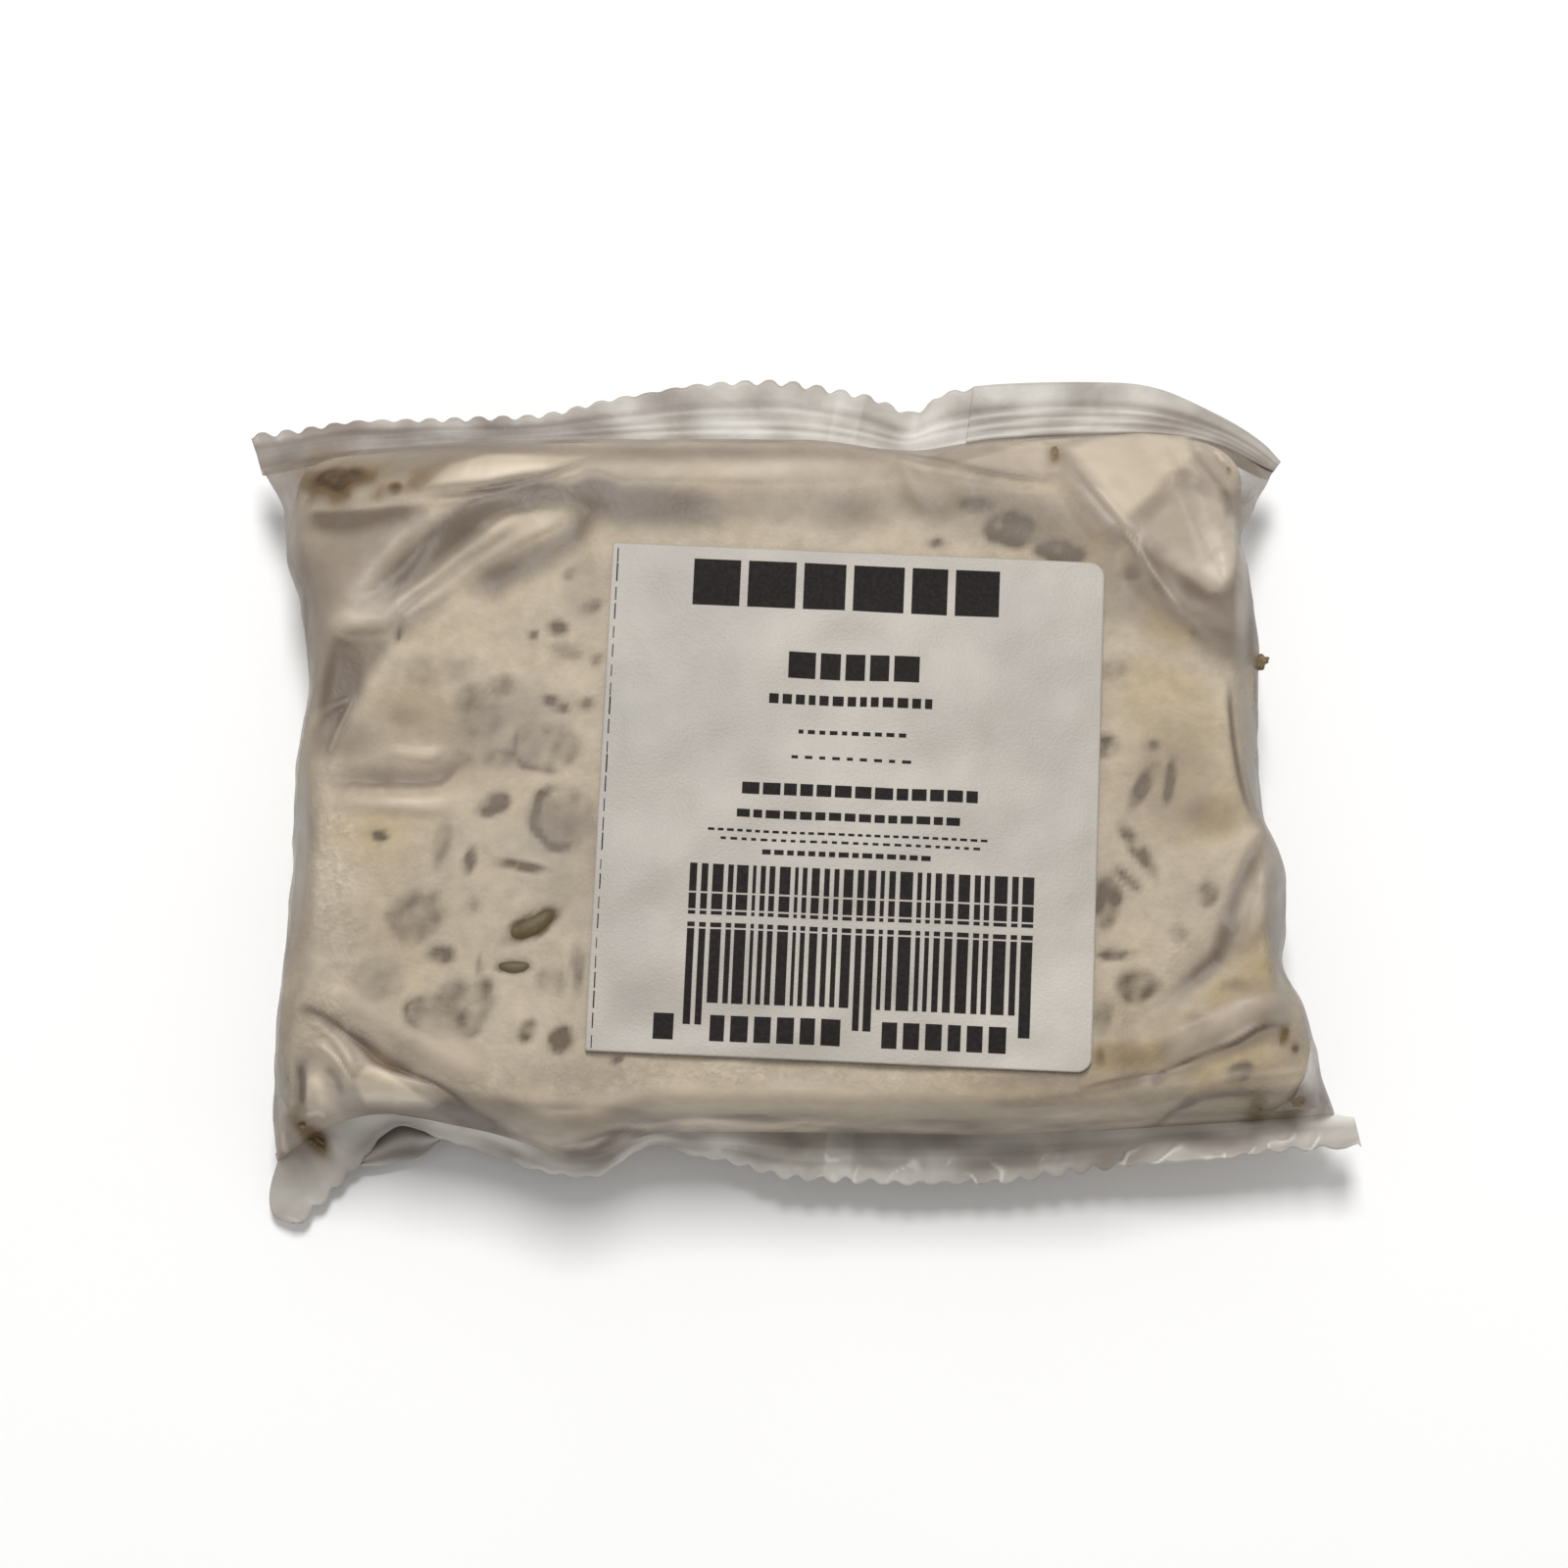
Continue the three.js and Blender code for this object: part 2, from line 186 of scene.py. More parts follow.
# A fold is a rounded ridge, or a groove where its height is negative. It bows to its left by bend,
# and its two flanks come back to the sheet within left and right.
Fold = namedtuple("Fold", "start end bend height left right")
FOLDS = [
    # rear left: loose film pulled into pleats by the seal
    Fold((-38, 28.6), (-47, 14.6), 0, 0.5, 5.4, 5.4),
    Fold((-27, 26.4), (-43, 13.6), -1, 0.5, 5, 3.6),
    Fold((-47.5, 15), (-36.5, 15.8), 0, 0.35, 3, 2.6),
    # left: the film lies in two levels over the cake
    Fold((-49, -0.8), (-32, 0.2), -0.6, -0.8, 5, 3),
    # front left: the corner is pinched towards its ear
    Fold((-51, -23.6), (-27, -36.8), 0.4, -1.1, 3, 3),
    Fold((-51, -27.2), (-34, -36), 0, 0.7, 3.4, 4),
    Fold((-45, -29.5), (-53.4, -38), 0, 1.1, 3.4, 3.4),
    # front right
    Fold((30, -32.6), (49.5, -25.4), 0, -1.1, 3.2, 3.2),
    Fold((36, -29.4), (49.5, -22.6), 0, 1, 4, 3.2),
    Fold((32, -34.8), (50, -31), 0, -0.9, 2.8, 2.8),
    # right: a short tuck that meets a long groove
    Fold((49.6, -8.8), (41.6, -19), 0, 1, 3.6, 3.6),
    Fold((43.4, -17), (31.2, -28.6), 0, -0.6, 3.2, 3.2),
    # rear right: the corner flap folded back over the cake
    Fold((26.5, 34.6), (47, 9.4), -1.3, 0.8, 7, 3.2),
    Fold((40.4, 36), (45, 18), 0.4, 0.8, 3.6, 3.8),
    Fold((10, 33), (28, 30.8), 0.3, -0.7, 3, 3),
    Fold((12.1, 35.6), (15.8, 25.6), 0, -0.6, 3.6, 3.6),
]

# To the left of each line the cake's corner is gone, and the film slopes down to the bag's ear.
Slope = namedtuple("Slope", "start end slope")
CORNER_SLOPES = [
    Slope((-33.4, -35), (-50.4, -24.4), 0.85),
    Slope((48.5, -24.6), (35, -32.4), 0.5),
    Slope((39, 34.4), (45.4, 24), 0.55),
    Slope((-49, 25.4), (-36.5, 33), 0.5),
]
SLOPE_SOFTNESS = 1.2

# Fine creases of the film: a curved path, the height of the crease, its flanks to the left and right,
# and the painted shade (negative) or painted light (positive) along it.
Crease = namedtuple("Crease", "path height left right tone")
REAR_PLEAT = [
    (-22.2, 29.1), (-27.2, 28.7), (-31.1, 27.5), (-34, 25.2), (-37, 23), (-40.5, 19.8), (-43.6, 17.6),
]
MIDDLE_PLEAT = [
    (-21.3, 28.3), (-21.6, 26.8), (-22.3, 25.2), (-24.1, 23.4), (-27.1, 21.6), (-30.5, 20), (-34, 18.3),
]
CREASES = [
    # rear left
    Crease(
        [(-52.3, 35), (-41.8, 34.9), (-31.3, 34.2), (-21.2, 33.9), (-11.2, 33.6), (-1.1, 33.5),
         (6.9, 33.2), (11.5, 33.1)],
        0, 1.1, 1.1, -0.4,
    ),
    Crease(
        [(-38.4, 29.1), (-34.1, 29.1), (-29.2, 29.7), (-25.2, 30.8), (-21.2, 32.5)],
        -0.2, 0.25, 1, -0.6,
    ),
    Crease([(-38.2, 27.8), (-34.1, 28.1), (-27.2, 29.9), (-21.2, 31.5)], 0.15, 0.5, 0.8, 0.35),
    Crease([(-51.2, 27.4), (-46.7, 26.8), (-41.6, 27), (-37.1, 27.5)], -0.15, 0.8, 3, -1.1),
    Crease(REAR_PLEAT, -0.3, 4.5, 3, 0),
    Crease(REAR_PLEAT, 0, 2.9, 3, -1.35),
    Crease([(-38, 27.9), (-39.2, 24.5), (-41.8, 21.3), (-45.7, 17.3)], 0.1, 1.6, 1.4, 0.3),
    Crease(
        [(-27.6, 27), (-30.8, 24.1), (-33.9, 22.1), (-36.9, 19.7), (-40.4, 17.1), (-41.5, 15.7)],
        0.2, 0.8, 0.8, 0.35,
    ),
    Crease([(-31.5, 23), (-35, 20.6), (-37.9, 18.2), (-40.8, 15.1)], -0.1, 0.6, 0.7, -0.3),
    Crease([(-25.1, 25.6), (-29, 23.1), (-31.9, 21.1), (-36, 18.2), (-39.6, 15.7)], 0.1, 0.9, 1, 0.3),
    Crease(MIDDLE_PLEAT, -0.3, 4.4, 2.6, 0),
    Crease(MIDDLE_PLEAT, 0, 2.5, 2.5, -0.8),
    Crease([(-46.3, 15.4), (-43.7, 15), (-40.7, 14.9)], 0.2, 1.5, 1.3, 0.1),
    Crease([(-41.3, 14.2), (-38.3, 15.8), (-34.7, 17.3)], -0.1, 0.8, 0.8, -0.35),
    # left side
    Crease([(-50.3, 5.1), (-47.2, 6.3), (-44.6, 7.4)], 0.25, 0.5, 0.5, 0.6),
    Crease([(-44.5, 7.4), (-45.6, 5.1), (-47.1, 1.5)], 0.2, 0.4, 0.4, 0.5),
    Crease([(-44.9, 8.6), (-46.1, 6.3), (-48.5, 4.3)], 0, 0.6, 0.6, -0.3),
    Crease(
        [(-47.4, -1.3), (-41.6, -1.4), (-36.2, -1.4), (-34.1, 0.3), (-32.6, 1.9)],
        -0.3, 2.6, 0.4, -0.5,
    ),
    Crease([(-47.1, -2.7), (-40.4, -3.2), (-35.3, -3), (-33, -1.3)], 0.25, 0.7, 2, 0.45),
    Crease([(-41.1, 2.1), (-37.7, 1.6), (-35.1, 1.9)], 0.15, 1, 1, 0.45),
    # front left
    Crease(
        [(-49.6, -23.7), (-46.9, -24.9), (-44.8, -26.3), (-42.8, -28.1), (-41.2, -29.6), (-37, -31.1),
         (-34.2, -32.5), (-31.5, -34.5), (-29, -35.7)],
        -0.3, 0.5, 0.35, -0.85,
    ),
    Crease([(-44.8, -26.3), (-42.5, -28.1), (-40.4, -29.7), (-37.7, -30.8)], -0.2, 1.3, 0.5, -1.2),
    Crease([(-49.7, -23.9), (-47.4, -24.9), (-44.8, -26.2)], 0, 1.2, 0.8, -0.7),
    Crease([(-49.3, -24.8), (-46.9, -26.2), (-44.9, -28.2), (-43.5, -31.2)], 0.3, 0.8, 0.6, 0.5),
    Crease([(-47.9, -27.1), (-46, -28.6), (-44.7, -30.3), (-43.9, -31.7)], 0.25, 0.3, 0.4, 0.9),
    Crease([(-49.4, -34), (-48.3, -33.7), (-47.4, -33.8)], 0.2, 0.25, 0.25, 1),
    Crease([(-48.2, -30.6), (-47.4, -32), (-47.4, -33.3)], 0.3, 1, 0.8, 0.5),
    Crease([(-46.7, -29.8), (-45.5, -31.1), (-45.3, -32.5)], 0, 0.7, 0.7, -0.6),
    Crease([(-49.5, -29.3), (-49.2, -31), (-49.4, -33.2)], -0.2, 0.6, 0.6, -0.9),
    Crease([(-51.9, -35), (-52.1, -36.1), (-52.4, -37)], 0.2, 0.5, 0.5, 0.8),
    Crease([(-46.2, -33.5), (-40.8, -33.2), (-34.7, -34), (-29.7, -35.4)], 0, 0.9, 1.2, -0.8),
    # front
    Crease(
        [(-25, -37.2), (-22.3, -37.1), (-19.7, -36.5), (-16.8, -35.6), (-11, -34.9)],
        -0.2, 0.3, 0.3, -1.1,
    ),
    Crease([(-24.1, -37.5), (-20.9, -37.3), (-19.2, -36.8), (-17.5, -35.9)], 0, 0.3, 0.4, -1),
    Crease([(-23.9, -37.3), (-21.3, -37), (-18.3, -36.3)], 0.15, 0.25, 0.25, 0.7),
    Crease([(-20.5, -35.9), (-11, -34.8), (-1.2, -35), (6, -35)], 0.2, 0.3, 0.3, 0.5),
    Crease([(-30.2, -33.2), (-26.3, -34.1), (-20.5, -34.1)], -0.1, 0.8, 0.8, -0.35),
    Crease(
        [(-24.8, -34.4), (-18.6, -34.3), (-14.8, -34.5), (-8.9, -34.4), (-1.2, -34.4), (8.6, -34.4)],
        -0.1, 0.5, 0.5, -0.3,
    ),
    Crease([(8.7, -34.9), (18.5, -35), (26.4, -34.8), (34.8, -34.6)], -0.1, 0.4, 0.4, -0.2),
    Crease([(46.1, 28.6), (45.5, 23.5), (45.3, 19.7)], 0, 0.5, 0.6, -0.6),
    Crease([(18.2, -33.8), (24, -33.3), (29.8, -32.4), (36.7, -30.8)], -0.15, 0.4, 0.7, -0.4),
    # front right
    Crease([(27.4, -32.3), (30.8, -31.5), (34.4, -30.7), (36.6, -30.4)], -0.2, 0.3, 0.5, -0.6),
    Crease(
        [(35.8, -30.6), (40.7, -28.6), (43.6, -27.5), (45.8, -26.2), (47.4, -25.8), (48.8, -26.2),
         (48.7, -27.2)],
        -0.35, 0.3, 0.6, -1,
    ),
    Crease([(35.1, -31.3), (36, -30.9), (36.9, -30.2)], 0, 0.7, 0.7, -0.8),
    Crease(
        [(34.6, -34.7), (36.6, -34.4), (38.1, -33.6), (40.3, -32.8), (43.3, -32.3), (48.3, -32)],
        -0.25, 0.3, 0.6, -0.85,
    ),
    Crease([(38.4, -33.4), (40, -33)], 0, 0.4, 0.5, -0.7),
    Crease([(40.2, -31.7), (43.8, -30.7), (47.7, -30.4), (51.8, -29.7)], 0.2, 0.8, 0.5, 0.3),
    Crease([(38.7, -29.5), (42.7, -27.7), (46.5, -25.5)], 0.3, 0.8, 0.4, 0.4),
    # right
    Crease(
        [(47.7, -6), (45.4, -9.6), (43.7, -13.3), (42.7, -16.7), (41.8, -19), (39.8, -20.9),
         (38.2, -22.3), (36.8, -23.6)],
        -0.1, 1.5, 1.4, -0.9,
    ),
    Crease([(37, -23.6), (33.8, -25.6), (31, -27.9)], -0.1, 0.6, 0.6, 0.25),
    Crease([(46.5, -10.2), (46.4, -13.7), (45.2, -18)], 0.2, 1, 1, 0.3),
    Crease([(43.8, 9.7), (44, 4.7), (44.5, 0.5), (45.2, -2.6), (46.5, -5.5)], -0.1, 0.6, 0.5, -1),
    # rear right
    Crease(
        [(27.5, 33.6), (31.7, 27.6), (34.3, 24.4), (35.2, 22), (37.4, 18), (39.9, 14.8), (42.6, 12.7),
         (46.3, 11.5)],
        0.25, 0.8, 0.8, 0.1,
    ),
    Crease([(33.3, 24.7), (34.4, 23.3), (35, 21.7)], 0.15, 0.35, 0.4, 0.6),
    Crease([(28.1, 31.7), (30.7, 28), (33.2, 24.9)], -0.2, 0.4, 0.7, -0.15),
    Crease([(35, 22.7), (36.1, 19.5), (38.8, 15.9)], 0, 0.3, 0.6, -0.3),
    Crease([(34.1, 25), (36.8, 27.8), (39.1, 30.6), (42.1, 29.3), (43.9, 28)], -0.25, 1.3, 1.3, -0.35),
    Crease(
        [(40.9, 36.7), (41, 33.5), (42.6, 31.1), (44.2, 29.2), (44.6, 27.5)],
        -0.25, 0.7, 0.9, -0.45,
    ),
    Crease([(8.9, 33.7), (13, 33.4), (18.9, 31.6), (24, 30.8), (27.5, 30.3)], -0.15, 0.35, 0.35, -0.5),
    Crease([(9.5, 32.8), (18.8, 30.5), (26.9, 29.4)], 0.25, 0.5, 1, 0.5),
    Crease([(10, 32.9), (11.4, 30.5), (13.4, 26.8)], -0.2, 0.6, 2.4, -0.15),
    Crease([(42.7, 22.7), (43.7, 21.1), (43.7, 18.9)], 0.15, 1, 1, 0.1),
    Crease([(45.3, 26), (45.1, 22.2), (44.7, 18.8)], 0, 0.4, 0.5, -0.5),
    Crease([(45.3, 36.1), (47, 34.4), (48.9, 33.2)], -0.3, 0.7, 0.7, -0.8),
    Crease([(43.3, 34.3), (44.2, 32.7)], 0.3, 0.5, 0.5, 0.7),
]
CREASE_SAMPLES = 48

# A facet is a patch of film between folds: a convex outline, anticlockwise, the painted light (positive)
# or painted shade (negative) on it, and how soft its edge is.
Facet = namedtuple("Facet", "corners tone soft")
PAINTED_FACETS = [
    Facet(
        [(-37.8, 29.6), (-31.1, 30), (-25.2, 31.3), (-22.1, 32.7), (-27.2, 32.9), (-31.2, 33.1),
         (-35.3, 32), (-37, 30.8)],
        0.7, 0.5,
    ),
    Facet(
        [(-46.7, 14), (-47.8, 9.8), (-48.4, 5.7), (-45.6, 5), (-43.6, 8.6), (-40.6, 13.4)],
        -0.75, 0.9,
    ),
    Facet(
        [(-50.4, 19.8), (-49.4, 5), (-47.8, 8.3), (-46.9, 13.7), (-46.4, 18.7), (-48.1, 23.1)],
        -0.1, 0.8,
    ),
    Facet(
        [(-45.3, -27.4), (-43.8, -31.3), (-44.6, -32.2), (-43.3, -32.8), (-36.1, -33.4), (-34.4, -32.8),
         (-38, -30.7), (-41.3, -30.1)],
        0.95, 0.4,
    ),
    Facet([(-40.3, -30.8), (-40, -32.9), (-36.1, -33.4), (-34.6, -32.8), (-37.7, -31)], 0.35, 0.4),
    Facet([(-48.6, -30.2), (-49, -33.6), (-46.5, -33.5), (-45.7, -32.2)], 0.35, 0.6),
    Facet([(-50.1, -28.7), (-50.4, -33.5), (-49.1, -33.6), (-48.7, -29.1)], -0.55, 0.4),
    Facet([(-34.4, -32.8), (-35.8, -33.6), (-29, -35.7), (-28.3, -35.8), (-31.3, -34.4)], -0.8, 0.5),
    Facet(
        [(27.8, 33.7), (31.8, 27.9), (34.4, 24.5), (38, 29.3), (39.8, 30.9), (41.8, 32.5), (41, 36.9),
         (34.6, 36.8)],
        0.65, 0.8,
    ),
    Facet(
        [(35.5, 24.1), (38.2, 22.1), (41.5, 19.4), (43.2, 19.2), (44.4, 20.1), (45.5, 26.7),
         (43.5, 28.1), (40.3, 29), (37.4, 27)],
        0.25, 0.7,
    ),
    Facet([(35, 22.9), (36.5, 18.6), (40.2, 13.9), (42.5, 17.9), (38.5, 20.8)], -0.75, 0.7),
    Facet(
        [(40.2, 13.9), (44.7, 10.9), (47.4, 12.4), (46.9, 21.1), (44.9, 19.8), (42.5, 17.9)],
        -0.75, 0.7,
    ),
    Facet([(16.1, 32.1), (20.9, 31.5), (27.1, 30.9), (27.4, 33.3), (25.1, 34.9)], 0.45, 0.4),
    Facet([(43.4, 29.4), (44, 26.7), (46.2, 28.2), (46.1, 30.4)], -0.6, 0.5),
    Facet([(45.6, 32.3), (45.5, 30.1), (49.2, 32.4), (49.3, 34.1)], -0.4, 0.8),
    Facet(
        [(38.3, -32.3), (42.7, -31.9), (47.7, -30.8), (52.3, -29.9), (52.7, -27.7), (48.9, -27.5),
         (47.4, -26.7), (41.3, -29.7)],
        0.2, 0.4,
    ),
    Facet(
        [(34.6, -34.5), (42.9, -34.1), (54, -33.3), (53.3, -31.3), (47.9, -32.1), (40.1, -33)],
        -0.25, 0.5,
    ),
    Facet([(52.6, -29.8), (53.4, -33.1), (55.1, -33.2), (54.4, -31.8)], -0.3, 0.5),
]

# Where the film turns down from the cake's top to its left and right walls, from front to rear, and how
# much shade is painted on the film of the wall.
TURNS = {
    "left": [
        (-51, -31), (-49.6, -24), (-48.1, -20), (-47.6, -8), (-47.3, 0), (-45.4, 4), (-43.6, 8),
        (-43.8, 12), (-48, 16), (-50.2, 24), (-51, 30),
    ],
    "right": [
        (53, -32), (50.6, -26), (47.2, -18), (47.8, -9), (45.6, -4), (44.4, 2), (44, 8), (45.2, 16),
        (45.6, 24), (47.4, 32),
    ],
}
WALL_PAINTED_SHADE = {"left": -0.32, "right": -0.1}

# Soft fields of the film's look: place, length, width, turn in degrees, and strength. The film's own fields
# paint shade where their strength is negative and light where it is positive.
Field = namedtuple("Field", "x y long wide turn strength")
PAINTED_LIGHT_FIELDS = [
    Field(-45.4, 15.3, 4.6, 2.6, 0, 0.4),
    Field(-41.5, 33, 24, 4, 8, -0.5),
    Field(-16.2, 31.1, 30, 2, 1, 0.35),
    Field(-1.1, 31, 22, 2.4, 0, 0.3),
    Field(-16.2, 27.6, 15, 4.6, -4, -0.8),
    Field(-2.2, 27.8, 34, 4, 0, -0.35),
    Field(-20.6, 29.5, 4, 3, 0, -0.9),
    Field(12.9, 27.1, 12, 3, -30, -0.15),
    Field(22.8, 27, 17, 6, -18, -0.45),
    Field(29.8, 22.3, 13, 5, -38, -0.1),
    Field(36.5, 16.1, 7, 5, -50, -0.3),
    Field(-26.2, 26, 8.4, 3, 14, 0.6),
    Field(-46.5, 21.8, 11, 8, 80, -0.4),
    Field(-38.7, 5.7, 11, 6, 0, -0.25),
    Field(-28.7, 4.4, 13, 8.4, 5, -0.3),
    Field(-36.7, 10.5, 9, 4, 0, -0.2),
    Field(-31.3, -14.7, 22, 18, 0, -0.1),
    Field(-28.6, -6.7, 12, 4, 0, -0.15),
    Field(30.7, 26.8, 5, 3, -45, 0.25),
    Field(37.5, 18.3, 5, 2, -48, 0.25),
    Field(-22.7, -8.7, 7, 12, 0, -0.25),
    Field(-45.1, -19.4, 9, 10, 0, -0.2),
    Field(-37.6, 1.6, 8, 2, 0, 0.35),
    Field(-35.5, -3.2, 11, 3, 0, 0.3),
    Field(38.2, -1.6, 12, 10, 70, -0.25),
    Field(42.1, -4.6, 6, 4, 0, -0.35),
    Field(36.7, -27.8, 5, 3.4, 30, 0.35),
    Field(32.8, -28.8, 7, 3, 5, -0.35),
    Field(24, -31.8, 16, 2.4, 3, -0.4),
    Field(-2.1, -33, 50, 3, 0, 0.4),
    Field(-24.5, -36.3, 8, 3, -20, 0.25),
    Field(-24.4, -32.4, 20, 6, 0, -0.3),
    Field(-45.6, 3.4, 6, 4, 0, -0.4),
    Field(-34.5, -28.5, 10, 4, -33, 0.65),
    Field(-0.2, -33.6, 44, 2, 0, 0.25),
    Field(37.4, -34.2, 36, 2.2, 3, 0.4),
    Field(43.6, -25.1, 10, 2.4, 28, 0.35),
    Field(52.7, -32, 3, 5, -20, -0.4),
    Field(-42.4, -25.1, 8, 4, -38, 0.5),
    Field(33.7, 18.7, 6, 8, 0, -0.3),
    Field(5.8, 26.4, 6, 4, 0, -0.35),
    Field(-21.4, 18.6, 4, 7, 0, -0.3),
    Field(-23.7, -4.6, 6, 3.4, 0, -0.25),
    Field(47.4, -23.4, 7, 5, 60, -0.2),
    Field(36, -11.7, 12, 12, 0, -0.12),
    Field(20.8, 26.1, 20, 5, -10, -0.2),
    Field(41, 18.5, 5, 3, -20, -0.3),
]
MILKY_FIELDS = [  # film that hides more of what lies under it
    Field(-6, -37, 110, 7.6, 0, 0.4),
    Field(-46.6, 22.4, 14, 16, 60, 0.4),
    Field(-46, -34, 16, 9, 20, 0.4),
    Field(40, 25, 22, 16, -50, 0.35),
    Field(-10, 33.6, 80, 6, 0, 0.3),
    Field(49, 5, 60, 3.4, 90, 0.2),
]
PAINTED_BACKLIGHT_FIELDS = [  # painted light, as through film that stands off the cake with light behind it
    Field(45.6, 4.8, 16, 2.2, 94, 0.5),
    Field(47, -2.2, 8, 2, 104, 0.8),
    Field(45.5, 19, 13, 1.6, 88, 0.5),
    Field(48, -14.4, 13, 2.2, 92, 0.85),
    Field(49.2, -20.9, 10, 2.4, 75, 0.5),
    Field(51.5, -25, 8, 2, 65, 0.5),
    Field(-49.7, -6.2, 16, 1.8, 90, 0.8),
    Field(-49.7, 9.8, 6, 1.4, 88, 0.5),
    Field(-51.7, -31.2, 9, 1.4, 92, 0.6),
    Field(-52, 25.7, 8, 1.2, 100, 0.4),
]
FILM_STAINS = [
    Field(-46.9, 31.3, 5.6, 2.1, 6, 0.9),
    Field(-46.6, 30.9, 9.4, 4.2, 0, 0.45),
    Field(-47.8, 29.1, 4.6, 2.4, -5, 0.45),
    Field(-49.9, 34.2, 6, 4, 20, 0.35),
    Field(-40.9, 29.8, 1.1, 1.1, 0, 0.8),
    Field(-38.5, 30.5, 7, 2, 22, 0.45),
    Field(-50.2, -34.4, 2.4, 1.6, -35, 0.3),
    Field(-49.6, -35.2, 5, 1.8, -48, 0.26),
    Field(-48.9, -36.2, 3, 1.6, -40, 0.26),
    Field(-50, -34.9, 6.4, 3.4, -48, 0.12),
    # this one is painted shade at the bottom of the front-left groove
    Field(-41.2, -29.3, 3.4, 1, -32, 0.4),
    Field(50.6, -32.6, 3.4, 2.6, 20, 0.45),
    Field(46.4, -33.1, 2.6, 1.5, -15, 0.6),
    Field(48.7, -26.6, 1.9, 1.1, 70, 0.75),
    Field(49.9, -27.8, 0.9, 0.8, 0, 0.7),
    Field(26.6, 33.3, 1.5, 2, 0, 0.5),
    Field(47.1, 12, 1.8, 1.5, 0, 0.6),
    Field(30.1, -28.9, 1, 2.4, 0, 0.45),
    Field(32.8, -29.1, 6, 2, 5, 0.3),
    Field(44.6, 32.1, 0.8, 0.7, 0, 0.7),
    Field(47.2, 34.6, 3, 1.6, -50, 0.3),
]
